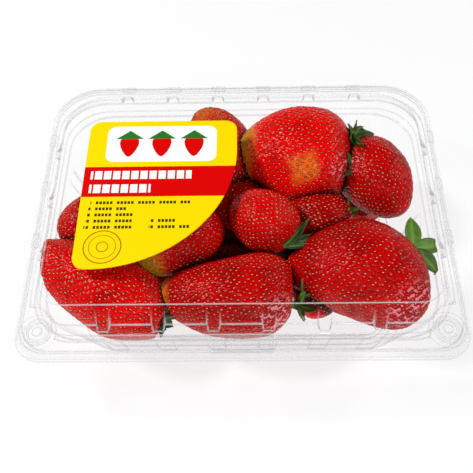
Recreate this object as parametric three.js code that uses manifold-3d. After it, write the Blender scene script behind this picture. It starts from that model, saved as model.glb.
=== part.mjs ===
// Punnet of strawberries: a clear hinged box with a label on its lid and the berries inside.
// Millimetres, +Z up, the front towards -Y, standing on z = 0.
import * as THREE from "three";
import { mergeVertices } from "three/addons/utils/BufferGeometryUtils.js";
import Module from "manifold-3d";

const wasm = await Module();
wasm.setup();
const { Manifold } = wasm;

// Driving dimensions of the box.
const FLANGE_HALF_X = 94;
const FLANGE_HALF_Y = 74.7;
const FRONT_RADIUS = 11;
const REAR_RADIUS = 22;
const PARTING_Z = 46;
const DOME_HEIGHT = 14.5;
const SHEET = 0.7;
const FIT_GAP = 0.3;
const CORNER_STEPS = 6;

// The two flanges, one each side of the parting plane.
const TRAY_FLANGE_TOP = PARTING_Z - FIT_GAP / 2;
const LID_FLANGE_BOTTOM = PARTING_Z + FIT_GAP / 2;
const LID_FLANGE_TOP = LID_FLANGE_BOTTOM + SHEET;

// Outlines of the tray's outer face, from the floor up.
const TRAY_LEVELS = [
  { z: 0, halfX: 73, halfY: 49, front: 15, rear: 15 },
  { z: 2.5, halfX: 76.5, halfY: 52.5, front: 18, rear: 18 },
  { z: 40.3, halfX: 85.5, halfY: 61.3, front: 21, rear: 21 },
  { z: 41.1, halfX: 88, halfY: 64.3, front: 21, rear: 21 },
  { z: TRAY_FLANGE_TOP, halfX: 88.6, halfY: 65, front: 21, rear: 21 },
];

// Outlines of the lid's outer face: the foot, a narrow ledge, the top edge and the flat top.
const LID_LEVELS = [
  { z: LID_FLANGE_BOTTOM, halfX: 90.2, halfY: 66.8, front: 21, rear: 22 },
  { z: PARTING_Z + 4, halfX: 89.2, halfY: 65.4, front: 20, rear: 21 },
  { z: PARTING_Z + 4.7, halfX: 86.2, halfY: 61, front: 15, rear: 20 },
  { z: PARTING_Z + DOME_HEIGHT - 1, halfX: 83.7, halfY: 57.2, front: 11, rear: 20 },
  { z: PARTING_Z + DOME_HEIGHT, halfX: 82.6, halfY: 56, front: 10, rear: 19 },
];

// Stiffening ribs of the lid's wall and of the tray's wall.
const LID_RIB = { width: 7.2, top: DOME_HEIGHT - 1.2, foot: 4.2, drop: 1.4, root: 4 };
const TRAY_RIB = { width: 9, low: 6, high: 37, proud: 1.6, fade: 5, root: 3 };
const LONG_WALL_RIBS = { count: 6, pitch: 22.6, axis: "halfY", turns: [0, 180] };
const SHORT_WALL_RIBS = { count: 3, pitch: 28, axis: "halfX", turns: [90, 270] };

// Snap buttons in the front corners, the latch tab between them and the air vents in the rim.
const BUTTON = { x: 84.6, y: -62.4, radius: 5.6, height: 1.5 };
const CORNER_CUT = { x: 89, y: -63, radius: 11 };
const TAB = { width: 26, depth: 7.2, y: -68.6, height: 1.5 };
const VENT = { width: 7.4, depth: 3.4, height: 1.2 };
const REAR_VENT_PITCH = 23;
const REAR_VENTS = 6;
const SIDE_VENT_YS = [39.5, 11, -18];
const LIP_DEPTH = 2.2;
const LIP_END_Y = 50;
const FLOOR_SLOT = { length: 18, width: 3.2 };
const FLOOR_SLOT_PLACES = [[-46, 26], [0, 26], [46, 26], [-46, -26], [0, -26], [46, -26]];

// The label: a flat sticker with a straight left and top edge and a quarter-round right edge.
const LABEL = {
  left: -70.6,
  top: 39.6,
  arcX: -64,
  arcY: 22,
  arcRadius: 62.4,
  corner: 5.5,
  thickness: 0.25,
};

// The berries. Places are millimetres from the box's middle, z from the table. heading is where the
// tip points seen from above and pitch how far it points up, both in degrees. blunt runs from 0, a
// cone, to 1, a round end, and wide is where along it a berry is widest, from the crown at 0. bend is
// how far its crown end leans to its left. The first rows are the ones that show, the last rows lie
// under them.
const BERRIES = [
  { x: -64.6, y: -35.6, z: 36, length: 74, width: 37, heading: 152, pitch: 9, blunt: 0.7, wide: 0.38 },
  { x: -70.5, y: -3.1, z: 34, length: 40, width: 32, heading: -160, pitch: 0, blunt: 0.8, wide: 0.4 },
  { x: -28.2, y: -15.6, z: 41, length: 45, width: 29, heading: -141, pitch: 2, blunt: 0.55, wide: 0.42 },
  { x: 10.5, y: -4.9, z: 42.5, length: 34, width: 29, heading: 150, pitch: 10, blunt: 1, wide: 0.45 },
  {
    x: -6.6,
    y: -41.1,
    z: 36,
    length: 63,
    width: 39,
    heading: 180,
    pitch: 2,
    blunt: 0.62,
    wide: 0.33,
    bend: -3,
  },
  {
    x: 51.9,
    y: -26.7,
    z: 34.5,
    length: 65,
    width: 48,
    heading: 180,
    pitch: 1,
    blunt: 0.5,
    wide: 0.38,
    bend: 12,
  },
  { x: 26.5, y: 37, z: 36, length: 59, width: 49, heading: 176, pitch: 0, blunt: 0.9, wide: 0.36 },
  { x: 67.2, y: 25.4, z: 33, length: 46, width: 34, heading: -58, pitch: 3, blunt: 0.7, wide: 0.36 },
  { x: -10.9, y: 43.8, z: 32, length: 56, width: 34, heading: 106, pitch: 10, blunt: 0.8, wide: 0.45 },
  { x: 36.4, y: 3.7, z: 29, length: 34, width: 28, heading: 176, pitch: 10, blunt: 0.8, wide: 0.4 },
  { x: 35.5, y: -29.5, z: 24, length: 34, width: 27, heading: -100, pitch: 4, blunt: 0.8, wide: 0.4 },
  { x: -45.4, y: 15.5, z: 30, length: 46, width: 32, heading: 35, pitch: 0, blunt: 0.6, wide: 0.4 },
  { x: -46, y: -20, z: 14, length: 40, width: 25, heading: 20, pitch: 0, blunt: 0.7, wide: 0.4 },
  { x: -10, y: -18, z: 14.5, length: 42, width: 26, heading: 200, pitch: 0, blunt: 0.6, wide: 0.4 },
  { x: 12, y: 2, z: 15, length: 36, width: 27, heading: 60, pitch: 0, blunt: 0.7, wide: 0.4 },
  { x: 50, y: -10, z: 13, length: 38, width: 23, heading: 150, pitch: 0, blunt: 0.7, wide: 0.4 },
  { x: -20, y: 18, z: 14, length: 42, width: 26, heading: -30, pitch: 0, blunt: 0.7, wide: 0.4 },
];
const BERRY_SIDES = 14;
const BERRY_RINGS = 9;
const BERRY_LUMPS = 0.035;
const CORE_LEVELS = [
  { z: 3, halfX: 50, halfY: 26, front: 14, rear: 14 },
  { z: 26, halfX: 54, halfY: 28, front: 16, rear: 16 },
];
const BERRY_GAP = 0.35;

// The crowns of leaves: the middle, where it faces, and its leaves. Where first and sweep are given
// the leaves take up only that part of the round, in degrees.
const CROWNS = [
  {
    x: 75,
    y: -25,
    z: 45,
    heading: 0,
    pitch: 70,
    leaves: 3,
    length: 12,
    width: 7,
    first: 270,
    sweep: -210,
  },
  { x: 55, y: 40.5, z: 43.5, heading: 20, pitch: 30, leaves: 6, length: 13, width: 7.5 },
  { x: 55.5, y: 29, z: 37, heading: 140, pitch: 15, leaves: 5, length: 10, width: 5 },
  {
    x: 18.7,
    y: -21.4,
    z: 43,
    heading: 33,
    pitch: 80,
    leaves: 3,
    length: 18,
    width: 4,
    first: 158,
    sweep: 66,
  },
  { x: 24.5, y: -44, z: 35, heading: -8, pitch: 10, leaves: 5, length: 10, width: 5.5 },
  { x: -36, y: -48, z: 27, heading: -30, pitch: 0, leaves: 5, length: 9, width: 5 },
];
const LEAF_THICKNESS = 0.7;
const LEAF_STEPS = 4;

const FINISH = {
  clear: { color: 0xe6ecee, roughness: 0.08, metalness: 0 },
  paper: { color: 0xffde00, roughness: 0.45, metalness: 0 },
  fruit: { color: 0xd01012, roughness: 0.35, metalness: 0 },
};

// Points of a rounded rectangle, anticlockwise from the front right, the radii its own front and rear.
function outline({ halfX, halfY, front, rear, centreY = 0 }, inset = 0) {
  const x = halfX - inset;
  const y = halfY - inset;
  const corners = [
    { sx: 1, sy: -1, radius: front, start: -90 },
    { sx: 1, sy: 1, radius: rear, start: 0 },
    { sx: -1, sy: 1, radius: rear, start: 90 },
    { sx: -1, sy: -1, radius: front, start: 180 },
  ];
  return corners.flatMap(({ sx, sy, radius, start }) => {
    const r = Math.max(radius - inset, 1);
    return Array.from({ length: CORNER_STEPS + 1 }, (_, i) => {
      const angle = THREE.MathUtils.degToRad(start + (90 * i) / CORNER_STEPS);
      return [sx * (x - r) + r * Math.cos(angle), centreY + sy * (y - r) + r * Math.sin(angle)];
    });
  });
}

// A solid that can be joined and cut, from a closed geometry.
function solidFrom(geometry) {
  geometry.deleteAttribute("normal");
  geometry.deleteAttribute("uv");
  const merged = mergeVertices(geometry, 1e-4);
  return new Manifold(new wasm.Mesh({
    numProp: 3,
    vertProperties: new Float32Array(merged.attributes.position.array),
    triVerts: new Uint32Array(merged.index.array),
  }));
}

// A solid through rings of equal point count, each a list of [x, y] with its height.
function loft(rings) {
  const count = rings[0].points.length;
  const vertices = rings.flatMap(({ z, points }) => points.flatMap(([x, y]) => [x, y, z]));
  const faces = [];
  for (let ring = 0; ring + 1 < rings.length; ring += 1) {
    for (let i = 0; i < count; i += 1) {
      const a = ring * count + i;
      const b = ring * count + ((i + 1) % count);
      faces.push(a, b, b + count, a, b + count, a + count);
    }
  }
  const top = (rings.length - 1) * count;
  const bottomCentre = rings.length * count;
  vertices.push(0, 0, rings[0].z, 0, 0, rings[rings.length - 1].z);
  for (let i = 0; i < count; i += 1) {
    const next = (i + 1) % count;
    faces.push(bottomCentre, next, i, bottomCentre + 1, top + i, top + next);
  }
  const geometry = new THREE.BufferGeometry();
  geometry.setAttribute("position", new THREE.Float32BufferAttribute(vertices, 3));
  geometry.setIndex(faces);
  return solidFrom(geometry);
}

// The solid inside a list of levels, moved in by inset and up by lift.
function wallSolid(levels, inset = 0, lift = 0, below = 0, above = 0) {
  const rings = levels.map((level) => ({ z: level.z + lift, points: outline(level, inset) }));
  rings[0].z -= below;
  rings[rings.length - 1].z += above;
  return loft(rings);
}

// A flat plate with a rounded outline between two heights.
function plate(shape, bottom, top, inset = 0) {
  const points = outline(shape, inset);
  return loft([{ z: bottom, points }, { z: top, points }]);
}

function boxSolid(width, depth, bottom, top, x, y) {
  const box = new THREE.BoxGeometry(width, depth, top - bottom);
  return solidFrom(box.translate(x, y, (bottom + top) / 2));
}

function diskSolid(radius, bottom, top, x, y) {
  const disk = new THREE.CylinderGeometry(radius, radius, top - bottom, 32);
  return solidFrom(disk.rotateX(Math.PI / 2).translate(x, y, (bottom + top) / 2));
}

const join = (solids) => solids.reduce((sum, solid) => sum.add(solid));

const spread = (count, pitch) => Array.from({ length: count }, (_, i) => (i - (count - 1) / 2) * pitch);

// Copies a rib made for the front wall to all four walls.
function onAllWalls(makeRib) {
  return join([LONG_WALL_RIBS, SHORT_WALL_RIBS].flatMap(({ count, pitch, axis, turns }) => {
    const ribs = spread(count, pitch).map((place) => makeRib(place, axis));
    return turns.flatMap((turn) => ribs.map((rib) => rib.rotate([0, 0, turn])));
  }));
}

// A sloping rib from the lid's top edge to the outer side of its ledge.
function lidRib(place, axis, inset) {
  const half = LID_RIB.width / 2 - inset;
  const edge = LID_LEVELS[3][axis] - inset;
  const reach = LID_LEVELS[1][axis] - 0.4 - inset;
  const top = PARTING_Z + LID_RIB.top - inset;
  const foot = PARTING_Z + LID_RIB.foot - inset;
  const back = edge - LID_RIB.root;
  const points = [place - half, place + half].flatMap((x) => [
    [x, -back, top],
    [x, -edge, top],
    [x, -reach, foot + LID_RIB.drop],
    [x, -reach, foot - 1],
    [x, -back, foot - 1],
  ]);
  return Manifold.hull(points);
}

// An upright rib on the outside of the tray's wall, faded out at both ends.
function trayRib(place, axis, inset) {
  const [, lower, upper] = TRAY_LEVELS;
  const slope = (upper[axis] - lower[axis]) / (upper.z - lower.z);
  const wallAt = (z) => lower[axis] + slope * (z - lower.z) - inset;
  const half = TRAY_RIB.width / 2 - inset;
  const out = (z, proud) => [place - half, place + half].map((x) => [x, -(wallAt(z) + proud), z]);
  return Manifold.hull([
    ...out(TRAY_RIB.low, -TRAY_RIB.root),
    ...out(TRAY_RIB.high, -TRAY_RIB.root),
    ...out(TRAY_RIB.low, 0),
    ...out(TRAY_RIB.low + TRAY_RIB.fade, TRAY_RIB.proud),
    ...out(TRAY_RIB.high - TRAY_RIB.fade, TRAY_RIB.proud),
    ...out(TRAY_RIB.high, 0),
  ]);
}

// The lid's dome with its ribs, cut back round the snap buttons. inset shrinks it by the sheet.
function domeSolid(inset, below) {
  const walls = wallSolid(LID_LEVELS, inset, -inset, below);
  const ribs = onAllWalls((place, axis) => lidRib(place, axis, inset));
  const cuts = [-1, 1].map((side) => diskSolid(
    CORNER_CUT.radius + inset,
    PARTING_Z - 5,
    PARTING_Z + DOME_HEIGHT + 1,
    side * CORNER_CUT.x,
    CORNER_CUT.y,
  ));
  return walls.add(ribs).subtract(join(cuts));
}

// The tray's body with its ribs. inset shrinks it by the sheet.
function trayBody(inset, above) {
  const walls = wallSolid(TRAY_LEVELS, inset, inset, 0, above);
  const ribs = onAllWalls((place, axis) => trayRib(place, axis, inset));
  return walls.add(ribs);
}

// Both snap buttons, as upright discs over the flange.
function buttons(radius, bottom, top) {
  return join([-1, 1].map((side) => diskSolid(radius, bottom, top, side * BUTTON.x, BUTTON.y)));
}

// The raised air vents along the rim, or with a margin the hollows under them, open to the outside.
function vents(margin, bottom, top, overrun) {
  const width = VENT.width - 2 * margin;
  const depth = VENT.depth - margin + overrun;
  const rear = spread(REAR_VENTS, REAR_VENT_PITCH).map((x) => (
    boxSolid(width, depth, bottom, top, x, FLANGE_HALF_Y + overrun - depth / 2)));
  const sides = SIDE_VENT_YS.flatMap((y) => [-1, 1].map((side) => (
    boxSolid(depth, width, bottom, top, side * (FLANGE_HALF_X + overrun - depth / 2), y))));
  return join([...rear, ...sides]);
}

// The lip that turns down round the front and the sides of the lid's flange.
function lipSolid(flange) {
  const outer = plate(flange, LID_FLANGE_BOTTOM - LIP_DEPTH, LID_FLANGE_TOP);
  const inner = plate(flange, LID_FLANGE_BOTTOM - LIP_DEPTH - 1, LID_FLANGE_TOP + 1, SHEET);
  const rear = boxSolid(
    2 * FLANGE_HALF_X + 2,
    FLANGE_HALF_Y,
    LID_FLANGE_BOTTOM - LIP_DEPTH - 1,
    LID_FLANGE_BOTTOM,
    0,
    LIP_END_Y + FLANGE_HALF_Y / 2,
  );
  return outer.subtract(inner).subtract(rear);
}

function lidSolid() {
  const flange = { halfX: FLANGE_HALF_X, halfY: FLANGE_HALF_Y, front: FRONT_RADIUS, rear: REAR_RADIUS };
  const raised = LID_FLANGE_TOP + BUTTON.height;
  const tabTop = LID_FLANGE_TOP + TAB.height;
  const outer = join([
    domeSolid(0, 0),
    plate(flange, LID_FLANGE_BOTTOM, LID_FLANGE_TOP),
    lipSolid(flange),
    buttons(BUTTON.radius, LID_FLANGE_BOTTOM, raised),
    boxSolid(TAB.width, TAB.depth, LID_FLANGE_BOTTOM, tabTop, 0, TAB.y),
    vents(0, LID_FLANGE_BOTTOM, LID_FLANGE_TOP + VENT.height, 0),
  ]);
  const under = LID_FLANGE_BOTTOM - LIP_DEPTH - 1;
  const inner = join([
    domeSolid(SHEET, 1),
    buttons(BUTTON.radius - SHEET, under, raised - SHEET),
    boxSolid(TAB.width - 2 * SHEET, TAB.depth - 2 * SHEET, under, tabTop - SHEET, 0, TAB.y),
    vents(SHEET, under, LID_FLANGE_TOP + VENT.height - SHEET, 1),
  ]);
  return outer.subtract(inner);
}

function traySolid() {
  const rearEdge = FLANGE_HALF_Y;
  const frontEdge = FLANGE_HALF_Y - SHEET - 0.4;
  const flange = {
    halfX: FLANGE_HALF_X - SHEET - 0.4,
    halfY: (rearEdge + frontEdge) / 2,
    centreY: (rearEdge - frontEdge) / 2,
    front: FRONT_RADIUS - 1,
    rear: REAR_RADIUS - 1,
  };
  const flangeBottom = TRAY_FLANGE_TOP - SHEET;
  const reach = BUTTON.height - 2 * SHEET + LID_FLANGE_TOP - FIT_GAP;
  const radius = BUTTON.radius - SHEET - FIT_GAP;
  const tabWidth = TAB.width - 2 * (SHEET + FIT_GAP);
  const tabDepth = TAB.depth - 2 * (SHEET + FIT_GAP);
  const outer = join([
    trayBody(0, 0),
    plate(flange, flangeBottom, TRAY_FLANGE_TOP),
    buttons(radius, flangeBottom, reach),
    boxSolid(tabWidth, tabDepth, flangeBottom, reach, 0, TAB.y),
  ]);
  const slots = FLOOR_SLOT_PLACES.map(([x, y]) => (
    boxSolid(FLOOR_SLOT.length, FLOOR_SLOT.width, -1, SHEET + 1, x, y)));
  const inner = join([
    trayBody(SHEET, 1),
    buttons(radius - SHEET, flangeBottom - 1, reach - SHEET),
    boxSolid(tabWidth - 2 * SHEET, tabDepth - 2 * SHEET, flangeBottom - 1, reach - SHEET, 0, TAB.y),
    ...slots,
  ]);
  return outer.subtract(inner);
}

// The sticker's outline, extruded to its thickness on the lid's top.
function labelGeometry() {
  const { left, top, arcX, arcY, arcRadius, corner } = LABEL;
  const right = arcX + arcRadius;
  const bottom = arcY - arcRadius;
  const shape = new THREE.Shape();
  shape.moveTo(left, top - corner);
  shape.absarc(left + corner, top - corner, corner, Math.PI, Math.PI / 2, true);
  shape.absarc(right - corner, top - corner, corner, Math.PI / 2, 0, true);
  shape.absarc(arcX, arcY, arcRadius, 0, -Math.PI / 2, true);
  shape.absarc(left + corner, bottom + corner, corner, -Math.PI / 2, -Math.PI, true);
  const sheet = new THREE.ExtrudeGeometry(shape, {
    depth: LABEL.thickness,
    bevelEnabled: false,
    curveSegments: 14,
  });
  return sheet.translate(0, 0, PARTING_Z + DOME_HEIGHT + FIT_GAP);
}

// Half width of a berry as a share of its greatest, t running from the crown at 0 to the tip at 1.
function berryProfile(t, { blunt, wide }) {
  const { clamp, lerp } = THREE.MathUtils;
  const crown = clamp(1 - t / wide, 0, 1);
  const tip = clamp((t - wide) / (1 - wide), 0, 1);
  return t < wide
    ? Math.sqrt(1 - Math.pow(crown, 2.3))
    : Math.pow(1 - Math.pow(tip, lerp(1.25, 2.1, blunt)), lerp(0.72, 0.52, blunt));
}

// Turns a thing made along +X to a berry's heading and pitch and puts it in its place.
function berryMatrix({ x, y, z, heading, pitch }) {
  const { degToRad } = THREE.MathUtils;
  const turn = new THREE.Euler(0, -degToRad(pitch), degToRad(heading), "ZYX");
  return new THREE.Matrix4().makeRotationFromEuler(turn).setPosition(x, y, z);
}

// One berry: a sphere drawn out along +X to the berry's profile, with a few shallow lumps.
function berrySolid(berry, index) {
  const { bend = 0 } = berry;
  const geometry = new THREE.SphereGeometry(1, BERRY_SIDES, BERRY_RINGS).rotateZ(-Math.PI / 2);
  const position = geometry.attributes.position;
  for (let i = 0; i < position.count; i += 1) {
    const point = new THREE.Vector3().fromBufferAttribute(position, i);
    const t = Math.acos(THREE.MathUtils.clamp(-point.x, -1, 1)) / Math.PI;
    const around = Math.atan2(point.z, point.y);
    const lumps = 1 + BERRY_LUMPS * Math.sin(3 * around + index) * Math.sin(Math.PI * t);
    const radius = (berry.width / 2) * berryProfile(t, berry) * lumps;
    const onAxis = Math.hypot(point.y, point.z) < 1e-6;
    const side = bend * Math.pow(Math.max(1 - t / 0.55, 0), 1.5);
    const y = onAxis ? 0 : radius * Math.cos(around);
    const z = onAxis ? 0 : radius * Math.sin(around);
    position.setXYZ(i, (t - 0.5) * berry.length, y + side, z);
  }
  return solidFrom(geometry.applyMatrix4(berryMatrix(berry)));
}

// One crown leaf: a thin wavy strip along +X that narrows to its tip, both faces split alike.
function leafSolid(length, width, phase) {
  const across = [-1, 0, 1];
  const vertices = [];
  for (const face of [0, 1]) {
    for (let i = 0; i <= LEAF_STEPS; i += 1) {
      const t = i / LEAF_STEPS;
      const half = (width / 2) * Math.max(Math.sin(Math.PI * (0.18 + 0.8 * t)), 0.08);
      const rise = length * (0.18 * Math.sin(3.4 * t + phase) + 0.1 * t);
      for (const side of across) {
        vertices.push(t * length, side * half, rise + 0.25 * Math.abs(side) * half - face * LEAF_THICKNESS);
      }
    }
  }
  const rows = LEAF_STEPS + 1;
  const at = (face, row, column) => (face * rows + row) * across.length + column;
  const quad = (a, b, c, d) => [a, b, c, a, c, d];
  const faces = [];
  for (let row = 0; row < LEAF_STEPS; row += 1) {
    for (let column = 0; column < 2; column += 1) {
      const next = column + 1;
      const after = row + 1;
      faces.push(...quad(at(0, row, column), at(0, after, column), at(0, after, next), at(0, row, next)));
      faces.push(...quad(at(1, row, next), at(1, after, next), at(1, after, column), at(1, row, column)));
    }
    faces.push(...quad(at(1, row, 0), at(1, row + 1, 0), at(0, row + 1, 0), at(0, row, 0)));
    faces.push(...quad(at(0, row, 2), at(0, row + 1, 2), at(1, row + 1, 2), at(1, row, 2)));
  }
  for (let column = 0; column < 2; column += 1) {
    const next = column + 1;
    faces.push(...quad(at(0, 0, column), at(0, 0, next), at(1, 0, next), at(1, 0, column)));
    faces.push(...quad(
      at(1, LEAF_STEPS, column),
      at(1, LEAF_STEPS, next),
      at(0, LEAF_STEPS, next),
      at(0, LEAF_STEPS, column),
    ));
  }
  const geometry = new THREE.BufferGeometry();
  geometry.setAttribute("position", new THREE.Float32BufferAttribute(vertices, 3));
  geometry.setIndex(faces);
  return geometry;
}

// One crown: leaves round its middle, each leaning a little out from the fruit.
function crownSolids(crown) {
  const { leaves, length, width, first = 0, sweep = 360 } = crown;
  const place = berryMatrix(crown);
  return Array.from({ length: leaves }, (_, i) => {
    const leaf = leafSolid(length, width, i * 1.7);
    const flip = new THREE.Matrix4().makeScale(1, -1, -1);
    const lean = new THREE.Matrix4().makeRotationY(-Math.PI / 2 + 0.3 + 0.25 * Math.sin(2.3 * i));
    const turn = THREE.MathUtils.degToRad(first + (sweep * i) / leaves);
    const around = new THREE.Matrix4().makeRotationX(turn);
    return solidFrom(leaf.applyMatrix4(flip).applyMatrix4(lean).applyMatrix4(around).applyMatrix4(place));
  });
}

// The space inside the shut box, less a small gap, that the heap is trimmed to.
function roomSolid() {
  const inset = SHEET + BERRY_GAP;
  const tray = wallSolid(TRAY_LEVELS, inset, inset);
  const lid = wallSolid(LID_LEVELS, inset, -inset, 1);
  const cuts = [-1, 1].map((side) => diskSolid(
    CORNER_CUT.radius + inset,
    PARTING_Z - 5,
    PARTING_Z + DOME_HEIGHT,
    side * CORNER_CUT.x,
    CORNER_CUT.y,
  ));
  const upper = lid.subtract(join(cuts)).trimByPlane([0, 0, 1], TRAY_FLANGE_TOP + BERRY_GAP);
  const bridge = plate(TRAY_LEVELS[2], TRAY_LEVELS[2].z, PARTING_Z + 4, inset);
  return join([tray, upper, bridge.subtract(join(cuts))]);
}

// All berries and crown leaves fused on a plain core and trimmed to the room inside the box.
function heapSolid() {
  const berries = BERRIES.map(berrySolid);
  const leaves = CROWNS.flatMap(crownSolids);
  return join([wallSolid(CORE_LEVELS), ...berries, ...leaves]).intersect(roomSolid());
}

// The largest connected piece of a solid; loose scraps of a trim are dropped.
function largestPiece(solid) {
  return solid.decompose().reduce((best, piece) => (piece.volume() > best.volume() ? piece : best));
}

function meshFrom(name, solid, finish) {
  const { vertProperties, triVerts } = solid.getMesh();
  const geometry = new THREE.BufferGeometry();
  geometry.setAttribute("position", new THREE.Float32BufferAttribute(vertProperties, 3));
  geometry.setIndex(Array.from(triVerts));
  return namedMesh(name, geometry, finish);
}

function namedMesh(name, geometry, finish) {
  geometry.computeVertexNormals();
  const mesh = new THREE.Mesh(geometry, new THREE.MeshStandardMaterial(finish));
  mesh.name = name;
  return mesh;
}

const tray = new THREE.Group();
tray.add(meshFrom("tray", largestPiece(traySolid()), FINISH.clear));
tray.add(meshFrom("strawberries", largestPiece(heapSolid()), FINISH.fruit));

const lid = new THREE.Group();
lid.add(meshFrom("lid", largestPiece(lidSolid()), FINISH.clear));
lid.add(namedMesh("label", labelGeometry(), FINISH.paper));

const punnet = new THREE.Group();
punnet.add(tray, lid);

export default punnet;
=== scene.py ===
"""Looks of the punnet of strawberries: clear lid and tray, hinge crease, label, fruit and studio.

Sizes are in millimetres in the fields below and turn into metres where a mesh is made.
"""

import logging
import math
from dataclasses import dataclass, field
from enum import Enum
from typing import Any, Sequence

import bmesh
import bpy
import numpy as np
from mathutils import Matrix, Vector, noise
from mathutils.geometry import tessellate_polygon
from mathutils.kdtree import KDTree


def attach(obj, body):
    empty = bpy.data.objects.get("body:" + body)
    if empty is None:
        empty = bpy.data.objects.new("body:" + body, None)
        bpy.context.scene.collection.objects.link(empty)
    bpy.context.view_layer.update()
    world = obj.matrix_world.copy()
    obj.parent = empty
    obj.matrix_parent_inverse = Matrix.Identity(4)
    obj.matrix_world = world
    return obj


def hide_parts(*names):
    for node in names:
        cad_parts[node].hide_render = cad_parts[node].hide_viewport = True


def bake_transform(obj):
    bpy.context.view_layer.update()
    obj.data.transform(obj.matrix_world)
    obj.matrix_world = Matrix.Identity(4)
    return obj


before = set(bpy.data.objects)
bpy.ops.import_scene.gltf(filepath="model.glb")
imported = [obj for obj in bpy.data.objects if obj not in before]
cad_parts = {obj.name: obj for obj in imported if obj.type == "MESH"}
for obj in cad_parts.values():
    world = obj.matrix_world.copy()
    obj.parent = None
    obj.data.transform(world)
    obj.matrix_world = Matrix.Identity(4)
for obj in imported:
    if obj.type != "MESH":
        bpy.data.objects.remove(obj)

log = logging.getLogger("punnet")

MM = 0.001
GOLDEN_ANGLE = math.pi * (3.0 - math.sqrt(5.0))
Colour = tuple[float, float, float]
Array = np.ndarray
Form = tuple[Array, list, Array]


class Body(Enum):
    """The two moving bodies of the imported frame."""

    TRAY = "tray"
    LID = "lid"


def linear(red: int, green: int, blue: int) -> Colour:
    """Turn a colour seen on a screen, 0 to 255, into linear light.

    Args:
        red: the red share.
        green: the green share.
        blue: the blue share.

    Returns:
        The three linear shares.
    """
    def one(share: int) -> float:
        """Turn one share into linear light."""
        value = share / 255.0
        return value / 12.92 if value <= 0.04045 else ((value + 0.055) / 1.055) ** 2.4

    return one(red), one(green), one(blue)


class Value:
    """A number inside a material; arithmetic on it adds Math nodes."""

    def __init__(self, board: "Board", socket: bpy.types.NodeSocket) -> None:
        """Wrap an output socket of a board."""
        self.board = board
        self.socket = socket

    def _math(self, operation: str, *inputs: Any) -> "Value":
        """Add one Math node and return its result."""
        made = self.board.node("ShaderNodeMath", {"operation": operation}, dict(enumerate(inputs)))
        return Value(self.board, made.outputs[0])

    def __add__(self, other: Any) -> "Value":
        """Add."""
        return self._math("ADD", self, other)

    __radd__ = __add__

    def __sub__(self, other: Any) -> "Value":
        """Subtract the other."""
        return self._math("SUBTRACT", self, other)

    def __rsub__(self, other: Any) -> "Value":
        """Subtract this from the other."""
        return self._math("SUBTRACT", other, self)

    def __mul__(self, other: Any) -> "Value":
        """Multiply."""
        return self._math("MULTIPLY", self, other)

    __rmul__ = __mul__

    def __truediv__(self, other: Any) -> "Value":
        """Divide by the other."""
        return self._math("DIVIDE", self, other)

    def __pow__(self, other: Any) -> "Value":
        """Raise to a power."""
        return self._math("POWER", self, other)

    def __abs__(self) -> "Value":
        """Drop the sign."""
        return self._math("ABSOLUTE", self)

    def fraction(self) -> "Value":
        """The part after the point, for patterns that repeat."""
        return self._math("FRACT", self)

    def least(self, other: Any) -> "Value":
        """The smaller of the two."""
        return self._math("MINIMUM", self, other)

    def most(self, other: Any) -> "Value":
        """The larger of the two."""
        return self._math("MAXIMUM", self, other)

    def root(self) -> "Value":
        """The square root."""
        return self._math("SQRT", self)

    def below(self, edge: Any) -> "Value":
        """One where this is below the edge, else zero."""
        return self._math("LESS_THAN", self, edge)

    def above(self, edge: Any) -> "Value":
        """One where this is above the edge, else zero."""
        return self._math("GREATER_THAN", self, edge)

    def between(self, low: float, high: float) -> "Value":
        """One between two edges, else zero."""
        return self.above(low) * self.below(high)

    def ramp(self, low: float, high: float) -> "Value":
        """A smooth step from zero at low to one at high."""
        made = self.board.node(
            "ShaderNodeMapRange",
            {"interpolation_type": "SMOOTHSTEP"},
            {"Value": self, "From Min": low, "From Max": high},
        )
        return Value(self.board, made.outputs["Result"])


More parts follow.
